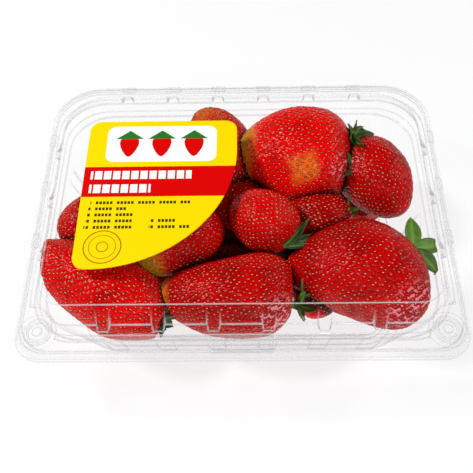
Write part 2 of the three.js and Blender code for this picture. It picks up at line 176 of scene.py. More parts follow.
class Board:
    """The node board of one material or of the studio's sky, emptied and given an output."""

    def __init__(self, name: str, sky: bool = False) -> None:
        """Make a material of the given name, or a sky."""
        self.owner = (bpy.data.worlds if sky else bpy.data.materials).new(name)
        self.owner.use_nodes = True
        self.tree = self.owner.node_tree
        self.tree.nodes.clear()
        self.output = self.node("ShaderNodeOutputWorld" if sky else "ShaderNodeOutputMaterial")

    def node(
        self,
        kind: str,
        settings: dict[str, Any] | None = None,
        inputs: dict[Any, Any] | None = None,
    ) -> bpy.types.Node:
        """Add a node.

        Args:
            kind: the node's type name.
            settings: its own settings, such as a Math node's operation.
            inputs: values or links for its sockets, by name or number.

        Returns:
            The node.
        """
        made = self.tree.nodes.new(kind)
        for name, value in (settings or {}).items():
            setattr(made, name, value)
        for name, value in (inputs or {}).items():
            self.feed(made.inputs[name], value)
        return made

    def feed(self, socket: bpy.types.NodeSocket, value: Any) -> None:
        """Link or set one input socket.

        Args:
            socket: the input.
            value: a Value, an output socket, a number or a colour.
        """
        if isinstance(value, Value):
            self.tree.links.new(value.socket, socket)
        elif isinstance(value, bpy.types.NodeSocket):
            self.tree.links.new(value, socket)
        elif isinstance(value, tuple) and socket.type == "RGBA":
            socket.default_value = (*value[:3], 1.0)
        else:
            socket.default_value = value

    def blend(self, factor: Any, first: Any, second: Any) -> bpy.types.NodeSocket:
        """Mix two colours, the second where the factor is one."""
        made = self.node("ShaderNodeMix", {"data_type": "RGBA"}, {"Factor": factor})
        self.feed(made.inputs[6], first)
        self.feed(made.inputs[7], second)
        return made.outputs[2]

    def paint(self, ground: Any, layers: Sequence[tuple[Any, Any]]) -> bpy.types.NodeSocket:
        """Lay colours over a ground, each where its mask is one.

        Args:
            ground: the colour underneath.
            layers: pairs of a mask and a colour, the lowest first.

        Returns:
            The painted colour.
        """
        colour = ground
        for mask, ink in layers:
            colour = self.blend(mask, colour, ink)
        return colour

    def grain(self, scale: float, detail: float = 2.0, where: Any = None) -> Value:
        """A noise from 0 to 1 over the object's own coordinates."""
        inputs = {"Scale": scale, "Detail": detail, "Vector": where or self.place()}
        made = self.node("ShaderNodeTexNoise", {}, inputs)
        return Value(self, made.outputs[0])

    def place(self) -> bpy.types.NodeSocket:
        """The point on the object in its own coordinates, in metres."""
        return self.node("ShaderNodeTexCoord").outputs["Object"]

    def bump(self, height: Value, strength: float, distance: float) -> bpy.types.NodeSocket:
        """A normal bent by a height."""
        made = self.node(
            "ShaderNodeBump", {}, {"Height": height, "Strength": strength, "Distance": distance})
        return made.outputs["Normal"]

    def parts(self, layer: str) -> tuple[Value, ...]:
        """The three numbers that a piece keeps for each point under a name."""
        kept = self.node("ShaderNodeVertexColor", {"layer_name": layer}).outputs["Color"]
        shares = self.node("ShaderNodeSeparateColor", {}, {0: kept}).outputs
        return tuple(Value(self, share) for share in shares)

    def mix(self, factor: Any, first: bpy.types.Node, second: bpy.types.Node) -> bpy.types.Node:
        """Mix two shaders, the second where the factor is one."""
        inputs = {0: factor, 1: first.outputs[0], 2: second.outputs[0]}
        return self.node("ShaderNodeMixShader", {}, inputs)

    def finish(self, shader: bpy.types.Node) -> bpy.types.Material | bpy.types.World:
        """Send a shader to the output and return the material or sky."""
        self.feed(self.output.inputs["Surface"], shader.outputs[0])
        return self.owner


@dataclass(frozen=True)
class ClearSheet:
    """Clear formed plastic: see-through where it faces the eye, painted grey at a slant, grey and white on
    its folds.

    The bend attribute is one on the folds and rib edges. There the grey is painted shade for the darker
    surroundings that the real sheet bends into view, and a white diffuse layer is a painted reflection of
    the bright room.
    """

    name: str = "clear_sheet"
    through: Colour = (0.996, 0.997, 0.998)
    slanted: Colour = (0.56, 0.57, 0.59)
    fold_reflection: Colour = (0.88, 0.88, 0.9)
    mirror: float = 0.0015
    roughness: float = 0.14

    def material(self) -> bpy.types.Material:
        """Make the material."""
        board = Board(self.name)
        facing = Value(board, board.node("ShaderNodeLayerWeight", {}, {"Blend": 0.5}).outputs["Facing"])
        line = board.parts("bend")[0] ** 2.5
        ripple = board.bump(board.grain(70.0, 1.5), 0.07, 0.001)
        gloss = board.node(
            "ShaderNodeBsdfGlossy",
            {"distribution": "GGX"},
            {"Color": (1.0, 1.0, 1.0), "Roughness": self.roughness, "Normal": ripple},
        )
        clear = board.node("ShaderNodeBsdfTransparent", {}, {"Color": self.through})
        grey = board.node("ShaderNodeBsdfTransparent", {}, {"Color": self.slanted})
        fold_reflector = board.node("ShaderNodeBsdfDiffuse", {}, {"Color": self.fold_reflection})
        # Painted shade: the see-through colour turns grey at a slant and on the folds, for the darker
        # surroundings that the real sheet bends into view there.
        see = board.mix((0.22 * facing.ramp(0.7, 1.0) + 0.5 * line).least(1.0), clear, grey)
        # Painted reflection: a white diffuse layer on the folds stands in for the bright room reflected in
        # them.
        with_fold_reflection = board.mix(0.68 * line, see, fold_reflector)
        mirror = (self.mirror + 0.16 * facing ** 9.0 + 0.02 * line).least(0.9)
        return board.finish(board.mix(mirror, with_fold_reflection, gloss))


@dataclass(frozen=True)
class BerrySkin:
    """Ripe fruit skin.

    The skin attribute holds how unripe, how deep in a pit and how pressed on the plastic a point is,
    and the near attribute how close the next berry is, which sets painted shade, how high the ridge
    between pits stands and how deep this berry's red is. Three colours paint light and shade: the darker
    red of the pits is painted shade, the near-black where berries come close is painted shade, and the
    pale pink net on ridges pressed on the plastic is a painted wet sheen.
    """

    name: str = "berry_skin"
    ripe: Colour = linear(246, 2, 4)
    deep: Colour = linear(170, 0, 4)
    # Painted shade: darker red in the seed pits, where the hollows fall into shade.
    pit: Colour = linear(120, 0, 3)
    # Painted shade: near-black red where berries come close, in the gaps that light does not reach.
    gap: Colour = linear(44, 0, 2)
    pale: Colour = linear(244, 134, 30)
    unripe: Colour = linear(196, 160, 30)
    # Painted sheen: pale pink on ridges pressed on the plastic, for the wet shine where the berry touches it.
    contact_sheen: Colour = linear(246, 150, 165)

    def material(self) -> bpy.types.Material:
        """Make the material."""
        board = Board(self.name)
        green, hollow, pressed = board.parts("skin")
        close, ridge, depth = board.parts("near")
        broad = board.grain(70.0, 3.0)
        fine = board.grain(420.0, 3.0)
        red = board.blend((0.6 * broad.ramp(0.4, 0.8) + depth).least(1.0), self.ripe, self.deep)
        # Where the painted wet sheen lies: the ridges of skin pressed on the plastic.
        net = pressed * ridge.ramp(0.2, 0.6)
        colour = board.paint(red, [
            ((green + 0.25 * (broad - 0.5)).ramp(0.06, 0.62) * 0.8, self.pale),
            ((green + 0.3 * (fine - 0.5)).ramp(0.55, 1.0), self.unripe),
            # Painted shade in the seed pits.
            (hollow * 0.85, self.pit),
            # Painted wet sheen on the pressed ridges.
            (net * 0.9, self.contact_sheen),
            # Painted shade where the next berry is close.
            (close.ramp(0.1, 1.0) * (0.92 - 0.85 * green).ramp(0.0, 1.0), self.gap),
        ])
        shader = board.node("ShaderNodeBsdfPrincipled", {"subsurface_method": "RANDOM_WALK"}, {
            "Base Color": colour,
            "Roughness": 0.16 + 0.1 * fine + 0.2 * pressed,
            "Specular IOR Level": 0.12,
            "Subsurface Weight": 0.04,
            "Subsurface Radius": (0.004, 0.0012, 0.0008),
            "Subsurface Scale": 1.0,
            "Normal": board.bump(fine, 0.25, 0.0006),
        })
        return board.finish(shader)


@dataclass(frozen=True)
class SeedCoat:
    """The small dry seeds, straw yellow to rust, with a gloss that catches the light."""

    name: str = "seed_coat"
    straw: Colour = linear(255, 210, 128)
    rust: Colour = linear(190, 80, 26)

    def material(self) -> bpy.types.Material:
        """Make the material."""
        board = Board(self.name)
        colour = board.blend(board.grain(430.0, 1.0).ramp(0.46, 0.68), self.straw, self.rust)
        shader = board.node("ShaderNodeBsdfPrincipled", {}, {
            "Base Color": colour,
            "Roughness": 0.28 + 0.1 * board.grain(900.0),
            "Coat Weight": 0.6,
            "Coat Roughness": 0.12,
        })
        return board.finish(shader)


@dataclass(frozen=True)
class LeafGreen:
    """Crown leaves: deep green with paler veins along them, from the vein attribute."""

    name: str = "leaf_green"
    deep: Colour = linear(22, 60, 6)
    bright: Colour = linear(104, 148, 34)

    def material(self) -> bpy.types.Material:
        """Make the material."""
        board = Board(self.name)
        line, light = board.parts("vein")[:2]
        mottle = board.grain(320.0, 3.0)
        shine = (0.5 * line + 0.55 * light + 0.5 * mottle).ramp(0.25, 1.1)
        colour = board.blend(shine, self.deep, self.bright)
        shader = board.node("ShaderNodeBsdfPrincipled", {}, {
            "Base Color": colour,
            "Roughness": 0.42 + 0.15 * mottle,
            "Normal": board.bump(mottle + line, 0.35, 0.0005),
        })
        return board.finish(shader)


@dataclass(frozen=True)
class CoreShade:
    """Painted shade: a dark filler inside the heap, seen only between the berries."""

    name: str = "core_shade_fill"
    shade: Colour = linear(70, 2, 6)

    def material(self) -> bpy.types.Material:
        """Make the material."""
        board = Board(self.name)
        colour = board.blend(board.grain(120.0), self.shade, linear(30, 0, 4))
        shader = board.node("ShaderNodeBsdfPrincipled", {}, {"Base Color": colour, "Roughness": 0.6})
        return board.finish(shader)


@dataclass(frozen=True)
class LabelPrint:
    """The label's print: a yellow ground, a red band and plain shapes where a maker's words would be."""

    name: str = "label_print"
    yellow: Colour = linear(255, 222, 0)
    red: Colour = linear(222, 2, 2)
    white: Colour = linear(252, 252, 250)
    ink: Colour = linear(58, 52, 16)
    stamp: Colour = linear(190, 92, 16)
    leaf: Colour = linear(40, 120, 40)
    band: tuple[float, float] = (-4.0, 12.6)
    panel: tuple[float, float, float, float] = (-62.0, -11.0, 15.4, 36.4)

    def material(self) -> bpy.types.Material:
        """Make the material."""
        board = Board(self.name)
        spots = board.node("ShaderNodeSeparateXYZ", {}, {0: board.place()}).outputs
        x = Value(board, spots[0]) * 1000.0
        y = Value(board, spots[1]) * 1000.0
        layers = [
            (self.panel_mask(x, y), self.white),
            *self.fruit_marks(x, y),
            (y.between(*self.band), self.red),
            (self.title_mask(x, y), self.white),
            (self.text_mask(x, y), self.ink),
            (self.stamp_mask(x, y), self.stamp),
        ]
        shader = board.node("ShaderNodeBsdfPrincipled", {}, {
            "Base Color": board.paint(self.yellow, layers),
            "Roughness": 0.42 + 0.08 * board.grain(600.0),
            "Specular IOR Level": 0.06,
            "Normal": board.bump(board.grain(40.0), 0.08, 0.001),
        })
        return board.finish(shader)

    def panel_mask(self, x: Value, y: Value) -> Value:
        """The pale panel, a rectangle with round corners."""
        left, right, low, high = self.panel
        corner = 4.0
        across = (abs(x - (left + right) / 2) - ((right - left) / 2 - corner)).most(0.0)
        up = (abs(y - (low + high) / 2) - ((high - low) / 2 - corner)).most(0.0)
        return (across * across + up * up).root().below(corner)

    def fruit_marks(self, x: Value, y: Value) -> list[tuple[Value, Colour]]:
        """Three plain drop shapes with leaf caps in the panel.

        Args:
            x: place across the label.
            y: place up the label.

        Returns:
            Pairs of mask and colour.
        """
        left, right, low, high = self.panel
        marks = []
        for place in (-1, 0, 1):
            across = abs(x - ((left + right) / 2 + 15.0 * place))
            rise = (y - (low + 3.0)) / 12.5
            width = (rise * (1.0 - rise)).most(0.0).root() * (0.55 + 0.75 * rise) * 9.0
            marks.append((across.below(width), self.red))
            cap = (high - 2.6) - y
            marks.append((across.below(cap * 1.3) * y.between(low + 13.4, high - 2.6), self.leaf))
        return marks

    def title_mask(self, x: Value, y: Value) -> Value:
        """Two rows of plain blocks on the band."""
        upper = y.between(5.6, 10.2) * x.between(-67.5, -22.0) * (x / 4.1).fraction().below(0.8)
        lower = y.between(-1.9, 2.7) * x.between(-67.5, -40.0) * (x / 4.1).fraction().below(0.8)
        return upper + lower

    def text_mask(self, x: Value, y: Value) -> Value:
        """Rows of small dashes, as wide as printed words."""
        rows = [(-7.2, -66.0, -22.0), (-10.4, -66.5, -50.0), (-13.6, -67.0, -45.0),
                (-16.8, -67.2, -47.0), (-20.0, -67.6, -46.0), (-16.8, -39.0, -27.0), (-20.0, -39.5, -22.0)]
        dashes = (x / 1.55).fraction().below(0.72) * ((x / 9.3).fraction().above(0.14))
        total = None
        for place, left, right in rows:
            row = y.between(place - 0.75, place + 0.75) * x.between(left, right)
            total = row if total is None else total + row
        return dashes * total

    def stamp_mask(self, x: Value, y: Value) -> Value:
        """Three plain rings, one inside the other."""
        across = x + 58.5
        up = y + 29.8
        reach = (across * across + up * up).root()
        return (reach.between(7.7, 8.2) + reach.between(5.6, 5.9) + reach.between(2.2, 2.6)).least(1.0)


@dataclass(frozen=True)
class PaleFloor:
    """The plain pale floor, lit a little from below like a photographer's table."""

    name: str = "pale_floor"
    tone: Colour = (0.22, 0.22, 0.22)
    glow: float = 0.79

    def material(self) -> bpy.types.Material:
        """Make the material."""
        board = Board(self.name)
        colour = board.blend(board.grain(4.0), self.tone, tuple(0.99 * share for share in self.tone))
        shader = board.node("ShaderNodeBsdfPrincipled", {}, {
            "Base Color": colour,
            "Roughness": 0.9,
            "Specular IOR Level": 0.1,
            "Emission Color": (1.0, 1.0, 1.0),
            "Emission Strength": self.glow,
        })
        return board.finish(shader)


def add_piece(
    name: str,
    points: Array,
    faces: Sequence[Sequence[int]] | Array,
    material: bpy.types.Material,
    smooth_angle: float | None = 40.0,
) -> bpy.types.Object:
    """Make a mesh object from points in millimetres.

    Args:
        name: the piece's name.
        points: one row per point.
        faces: point numbers of each face.
        material: the finish.
        smooth_angle: edges sharper than this many degrees stay sharp; None shades all smooth.

    Returns:
        The object.
    """
    mesh = bpy.data.meshes.new(name)
    mesh.from_pydata((np.asarray(points) * MM).tolist(), [], [list(face) for face in faces])
    mesh.validate()
    mesh.update()
    piece = bpy.data.objects.new(name, mesh)
    bpy.context.scene.collection.objects.link(piece)
    mesh.materials.append(material)
    mesh.shade_smooth()
    if smooth_angle is not None:
        mesh.set_sharp_from_angle(angle=math.radians(smooth_angle))
    return piece


def keep_values(piece: bpy.types.Object, name: str, values: Array) -> None:
    """Keep up to three numbers for each point as a colour attribute.

    Args:
        piece: the mesh object.
        name: the attribute's name.
        values: one row per point, or one number per point.
    """
    rows = np.asarray(values, dtype=float)
    if rows.ndim == 1:
        rows = np.stack([rows, rows, rows], axis=1)
    layer = piece.data.color_attributes.new(name, "FLOAT_COLOR", "POINT")
    full = np.column_stack([rows, np.ones(len(rows))]).astype(np.float32)
    layer.data.foreach_set("color", full.ravel())


def thicken(piece: bpy.types.Object, thickness: float, side: float = -1.0) -> None:
    """Give a sheet its thickness.

    Args:
        piece: an open sheet.
        thickness: in millimetres.
        side: -1 adds it on the inner side, 1 on the outer.
    """
    solidify = piece.modifiers.new("thickness", "SOLIDIFY")
    solidify.thickness = thickness * MM
    solidify.offset = side
    solidify.use_even_offset = False


@dataclass(frozen=True)
class Level:
    """One outline of a formed wall: half sizes, corner radii and height."""

    half_x: float
    half_y: float
    front: float
    rear: float
    z: float
    centre_y: float = 0.0

    def row(self) -> Array:
        """The numbers as one row, for mixing levels."""
        return np.array([self.half_x, self.half_y, self.front, self.rear, self.z, self.centre_y])


def rounded_rows(levels: Sequence[Level], radius: float, steps: int = 4) -> Array:
    """Run through levels with each inner one rounded off.

    Args:
        levels: the corners of the profile.
        radius: how far before and after a corner the rounding starts, in millimetres.
        steps: points on each rounding.

    Returns:
        One row per outline, as Level.row gives them, with how far it is into a bend.
    """
    keys = [level.row() for level in levels]
    rows = [np.append(keys[0], 0.6)]
    for before, here, after in zip(keys, keys[1:], keys[2:]):
        def towards(other: Array) -> Array:
            """A point a rounding away from this corner."""
            gap = other - here
            length = math.hypot(max(abs(gap[0]), abs(gap[1])), gap[4])
            return here + gap * min(radius / max(length, 1e-6), 0.45)

        start, end = towards(before), towards(after)
        for i in range(steps + 1):
            t = i / steps
            spot = (1 - t) ** 2 * start + 2 * t * (1 - t) * here + t * t * end
            rows.append(np.append(spot, math.sin(math.pi * t)))
    rows.append(np.append(keys[-1], 0.0))
    return np.array(rows)


@dataclass
class Rim:
    """Where points lie round a rounded rectangle, the same for every outline of a shell."""

    straight_x: float = 62.5
    straight_front_y: float = -41.0
    straight_rear_y: float = 34.0
    corner_points: int = 26
    rib_width: float = 7.2
    long_ribs: tuple[float, ...] = (-56.5, -33.9, -11.3, 11.3, 33.9, 56.5)
    short_ribs: tuple[float, ...] = (-28.0, 0.0, 28.0)

    def stations(self, low: float, high: float, ribs: Sequence[float]) -> Array:
        """Places along one straight side, closer together at the ribs' edges."""
        half = self.rib_width / 2
        near = [0.0, 0.35, 0.7, 1.1, 1.6, 2.3]
        places = {low, high}
        places.update(np.arange(math.ceil(low / 4.0) * 4.0, high, 4.0).tolist())
        for rib in ribs:
            for edge in (-1, 1):
                places.update(rib + edge * (half - step) for step in near)
            places.add(rib)
        kept = []
        for place in sorted(p for p in places if low <= p <= high):
            if not kept or place - kept[-1] > 0.12:
                kept.append(place)
        return np.array(kept)

    def corner(self, start: Array, tangent: Array, centre: Array, radius: float, turn: float,
               end: Array) -> Array:
        """Points from one straight side round a corner to the next.

        Args:
            start: the last point of the side before.
            tangent: where the arc starts.
            centre: the arc's centre.
            radius: the arc's radius.
            turn: the arc's first angle in degrees.
            end: the first point of the side after.

        Returns:
            The points between start and end, both left out.
        """
        angles = np.radians(turn + np.linspace(0, 90, 25))
        arc = centre + radius * np.stack([np.cos(angles), np.sin(angles)], axis=1)
        path = np.vstack([start, tangent, arc, end])
        steps = np.r_[0, np.cumsum(np.linalg.norm(np.diff(path, axis=0), axis=1))]
        wanted = np.linspace(0, steps[-1], self.corner_points + 2)[1:-1]
        return np.stack([np.interp(wanted, steps, path[:, i]) for i in (0, 1)], axis=1)

    def outline(self, row: Array) -> Array:
        """All points of one outline, anticlockwise from the front left.

        Args:
            row: a level's numbers.

        Returns:
            One x, y row per point.
        """
        half_x, half_y, front, rear, _, centre_y = row[:6]
        low, high = centre_y - half_y, centre_y + half_y
        xs = self.stations(-self.straight_x, self.straight_x, self.long_ribs)
        ys = self.stations(self.straight_front_y, self.straight_rear_y, self.short_ribs)
        sides = [
            np.stack([xs, np.full_like(xs, low)], axis=1),
            np.stack([np.full_like(ys, half_x), ys], axis=1),
            np.stack([xs[::-1], np.full_like(xs, high)], axis=1),
            np.stack([np.full_like(ys, -half_x), ys[::-1]], axis=1),
        ]
        corners = [
            (half_x - front, low + front, front, -90, (half_x - front, low)),
            (half_x - rear, high - rear, rear, 0, (half_x, high - rear)),
            (-half_x + rear, high - rear, rear, 90, (-half_x + rear, high)),
            (-half_x + front, low + front, front, 180, (-half_x, low + front)),
        ]
        pieces = []
        for i, (cx, cy, radius, turn, tangent) in enumerate(corners):
            side, following = sides[i], sides[(i + 1) % 4]
            pieces.append(side)
            pieces.append(self.corner(
                side[-1], np.array(tangent), np.array([cx, cy]), radius, turn, following[0]))
        return np.vstack(pieces)

    def rib_place(self, points: Array) -> Array:
        """How far each point lies from the middle of its nearest rib, along its side."""
        x, y = points[:, 0], points[:, 1]
        along_x = np.min([abs(x - rib) for rib in self.long_ribs], axis=0)
        along_y = np.min([abs(y - rib) for rib in self.short_ribs], axis=0)
        on_long = abs(x) <= max(self.straight_x, self.long_ribs[-1] + self.rib_width / 2) + 0.01
        on_short = (y >= self.straight_front_y - 0.01) & (y <= self.straight_rear_y + 0.01)
        far_out = abs(y) > 46.0
        place = np.where(on_long & far_out, along_x, np.where(on_short & ~far_out, along_y, 99.0))
        return place


def bridge_rings(count: int, rings: int, start: int = 0) -> list[tuple[int, ...]]:
    """Faces between neighbouring rings of points.

    Args:
        count: points in a ring.
        rings: how many rings.
        start: the first point's number.

    Returns:
        Four-sided faces.
    """
    faces = []
    for ring in range(rings - 1):
        base = start + ring * count
        for i in range(count):
            after = (i + 1) % count
            faces.append((base + i, base + after, base + count + after, base + count + i))
    return faces


def flat_fill(outer: Array, holes: Sequence[Array], z: float) -> tuple[Array, list[tuple[int, ...]]]:
    """Fill a flat outline that may have holes.

    Args:
        outer: the outline.
        holes: outlines of the holes.
        z: the height.

    Returns:
        The points of all outlines in order, and the faces.
    """
    loops = [[Vector((x, y, 0.0)) for x, y in loop] for loop in (outer, *holes)]
    faces = [tuple(face) for face in tessellate_polygon(loops)] if holes else [tuple(range(len(outer)))]
    flat = np.vstack([outer, *holes])
    return np.column_stack([flat, np.full(len(flat), z)]), faces


def smooth(value: Array, low: float, high: float) -> Array:
    """A smooth step from zero at low to one at high."""
    t = np.clip((value - low) / (high - low), 0.0, 1.0)
    return t * t * (3.0 - 2.0 * t)


@dataclass
class BoxForm:
    """Sizes that the tray and the lid share, as in the solids."""

    flange_half_y: float = 74.7
    parting_z: float = 46.0
    dome: float = 14.5
    sheet: float = 0.4
    skin: float = 0.7
    lid_under: float = 46.15
    lid_flange: float = 46.9
    tray_flange: float = 45.85
    cut_x: float = 89.0
    cut_y: float = -63.0
    cut_radius: float = 11.0


@dataclass
class LidShell:
    """The lid: a ribbed dome on a flange, cut back round the snap buttons, all one formed sheet."""

    form: BoxForm
    rim: Rim = field(default_factory=Rim)
    lip: float = 2.2
    lip_end_y: float = 50.0
    bead: float = 0.45
    fillet: float = 0.7

    def levels(self) -> list[Level]:
        """The profile's corners from the lip up to the flat top."""
        form = self.form
        z = form.parting_z
        top = z + form.dome
        return [
            Level(93.95, 74.65, 11, 22, form.lid_under - self.lip),
            Level(94, 74.7, 11, 22, form.lid_flange + self.bead),
            Level(92.0, 71.6, 11, 20, form.lid_flange + self.bead),
            Level(91.5, 70.9, 12, 20, form.lid_flange),
            Level(90.2, 66.8, 21, 22, form.lid_flange),
            Level(89.2, 65.4, 20, 21, z + 4),
            Level(86.2, 61, 15, 20, z + 4.7),
            Level(83.3, 56.7, 11, 20, top),
            Level(79.0, 52.4, 9, 16, top),
        ]

    def rib_rows(self, rows: Array) -> Array:
        """The same rows moved out to the face of a rib.

        Args:
            rows: the wall's rows.

        Returns:
            Rows of the rib's face, one for each row of the wall.
        """
        edge = Level(83.3, 56.7, 11, 20, self.form.parting_z + self.form.dome).row()
        foot = Level(88.8, 65.0, 19, 21, self.form.parting_z + 5.2).row()
        ribbed = rows.copy()
        low, high = self.form.parting_z + 4.0, edge[4] - 0.9
        for i, row in enumerate(rows):
            if low <= row[4] <= high:
                share = (row[4] - low) / (high - low)
                slope = foot + (edge - foot) * share
                out = max(slope[1] - row[1], 0.0)
                ribbed[i, 0] = row[0] + out * (slope[0] - row[0]) / max(slope[1] - row[1], 1e-6)
                ribbed[i, 1] = row[1] + out
        return ribbed

    def cut_back(self, points: Array, z: float) -> Array:
        """Push points out of the round corners that the snap buttons stand in.

        Args:
            points: one outline.
            z: its height.

        Returns:
            The moved outline.
        """
        form = self.form
        moved = points.copy()
        radius = form.cut_radius + 0.25 * (form.parting_z + 4 - z)
        for side in (-1, 1):
            heart = np.array([side * form.cut_x, form.cut_y])
            anchor = np.array([side * 66.0, -42.0])
            for i, point in enumerate(points):
                if np.hypot(*(point - heart)) < radius:
                    step = anchor - point
                    gap = point - heart
                    a = step @ step
                    b = 2 * gap @ step
                    c = gap @ gap - radius * radius
                    moved[i] = point + step * (-b + math.sqrt(b * b - 4 * a * c)) / (2 * a)
        return moved

    def build(self, finish: bpy.types.Material) -> bpy.types.Object:
        """Make the lid.

        Args:
            finish: the clear sheet.

        Returns:
            The piece.
        """
        form = self.form
        rows = rounded_rows(self.levels(), self.fillet)
        ribbed = self.rib_rows(rows)
        rings, bends = [], []
        for row, out in zip(rows, ribbed):
            flat = self.rim.outline(row)
            away = self.rim.rib_place(flat)
            share = (out[4] - form.parting_z - 4) / (form.dome - 4)
            half = self.rim.rib_width / 2 - 1.4 * (1 - min(max(share * 3.0, 0.0), 1.0)) ** 2
            weight = smooth(half - away, 0.0, 0.55)[:, None]
            proud = min(abs(out[1] - row[1]) / 1.5, 1.0)
            bends.append(np.maximum(row[6] * 0.8, proud * np.exp(-((half - 0.3 - away) / 0.45) ** 2)))
            flat = flat * (1 - weight) + self.rim.outline(out) * weight
            if form.lid_flange - 0.01 <= row[4] <= form.parting_z + form.dome - 0.6 and row[0] < 91.0:
                flat = self.cut_back(flat, row[4])
            height = np.full(len(flat), row[4])
            if row[4] < form.lid_under:
                height += (form.lid_under - row[4]) * smooth(flat[:, 1], self.lip_end_y - 4, self.lip_end_y)
            rings.append(np.column_stack([flat, height]))
        count = len(rings[0])
        points = np.vstack(rings)
        faces = bridge_rings(count, len(rings))
        _, fill = flat_fill(rings[-1][:, :2], [], rings[-1][0, 2])
        start = (len(rings) - 1) * count
        faces += [tuple(start + i for i in face) for face in fill]
        piece = add_piece("lid_shell", points, faces, finish, 50.0)
        keep_values(piece, "bend", np.concatenate(bends))
        return piece


@dataclass
class TrayShell:
    """The tray: ribbed walls under a shoulder and a flange, with a slotted floor."""

    form: BoxForm
    rim: Rim = field(default_factory=lambda: Rim(57.0, -32.8, 32.8, rib_width=9.0))
    rib_proud: float = 1.6
    slots: tuple[tuple[float, float], ...] = ((-46, 26), (0, 26), (46, 26), (-46, -26), (0, -26), (46, -26))
    slot_length: float = 18.0
    slot_width: float = 3.2
    fillet: float = 1.0

    def levels(self) -> list[Level]:
        """The profile's corners from the flange's edge down to the floor."""
        form = self.form
        return [
            Level(92.9, 74.15, 10, 21, form.tray_flange, 0.55),
            Level(88.6, 65, 21, 21, form.tray_flange),
            Level(88, 64.3, 21, 21, 41.1),
            Level(85.5, 61.3, 21, 21, 40.3),
            Level(76.5, 52.5, 18, 18, 2.5),
            Level(73, 49, 15, 15, 0.02),
            Level(70, 46, 12.5, 12.5, 0.02),
            Level(68.6, 44.6, 11, 11, 0.8),
            Level(66, 42, 9, 9, 0.8),
        ]

    def build(self, finish: bpy.types.Material) -> bpy.types.Object:
        """Make the tray.

        Args:
            finish: the clear sheet.

        Returns:
            The piece.
        """
        rows = rounded_rows(self.levels(), self.fillet)
        rings, bends = [], []
        for row in self.extra_wall_rows(rows):
            flat = self.rim.outline(row)
            away = self.rim.rib_place(flat)
            fade = smooth(np.array([row[4]]), 6.0, 11.0)[0] * (1 - smooth(np.array([row[4]]), 32.0, 37.0)[0])
            half = self.rim.rib_width / 2
            out = self.rib_proud * fade * smooth(half - away, 0.0, 1.1)
            bends.append(np.maximum(row[6] * 0.6, 0.5 * fade * np.exp(-((half - 0.6 - away) / 0.6) ** 2)))
            long_side = abs(flat[:, 1]) > 46.0
            flat[:, 1] += np.where(long_side, np.sign(flat[:, 1]) * out, 0.0)
            flat[:, 0] += np.where(long_side, 0.0, np.sign(flat[:, 0]) * out)
            rings.append(np.column_stack([flat, np.full(len(flat), row[4])]))
        count = len(rings[0])
        points = np.vstack(rings)
        faces = [tuple(reversed(face)) for face in bridge_rings(count, len(rings))]
        holes = [self.slot(x, y) for x, y in self.slots]
        flat_points, fill = flat_fill(rings[-1][:, :2], holes, rings[-1][0, 2])
        start = (len(rings) - 1) * count
        points = np.vstack([points, flat_points[count:]])
        faces += [tuple(start + i for i in reversed(face)) for face in fill]
        piece = add_piece("tray_shell", points, faces, finish, 50.0)
        # The flat floor gets a fold value of 0.8, so the painted grey and white of the folds lie over all of
        # it.
        keep_values(piece, "bend", np.concatenate([*bends, np.full(len(flat_points) - count, 0.8)]))
        return piece

    def extra_wall_rows(self, rows: Array) -> list[Array]:
        """Add rows down the tall wall, so that the ribs can fade out on it."""
        full = []
        for here, after in zip(rows, rows[1:]):
            full.append(here)
            drop = here[4] - after[4]
            if drop > 6.0:
                pieces = int(drop // 2.5)
                full += [here + (after - here) * i / pieces for i in range(1, pieces)]
                for row in full[1 - pieces:]:
                    row[6] = 0.0
        full.append(rows[-1])
        return full

    def slot(self, x: float, y: float) -> Array:
        """The outline of one drain slot, a rectangle with round ends."""
        radius = self.slot_width / 2
        reach = self.slot_length / 2 - radius
        ends = []
        for side, first in ((1, -90), (-1, 90)):
            angles = np.radians(first + np.linspace(0, 180, 9))
            ends.append(np.column_stack([
                x + side * reach + radius * np.cos(angles), y + radius * np.sin(angles)]))
        return np.vstack(ends)


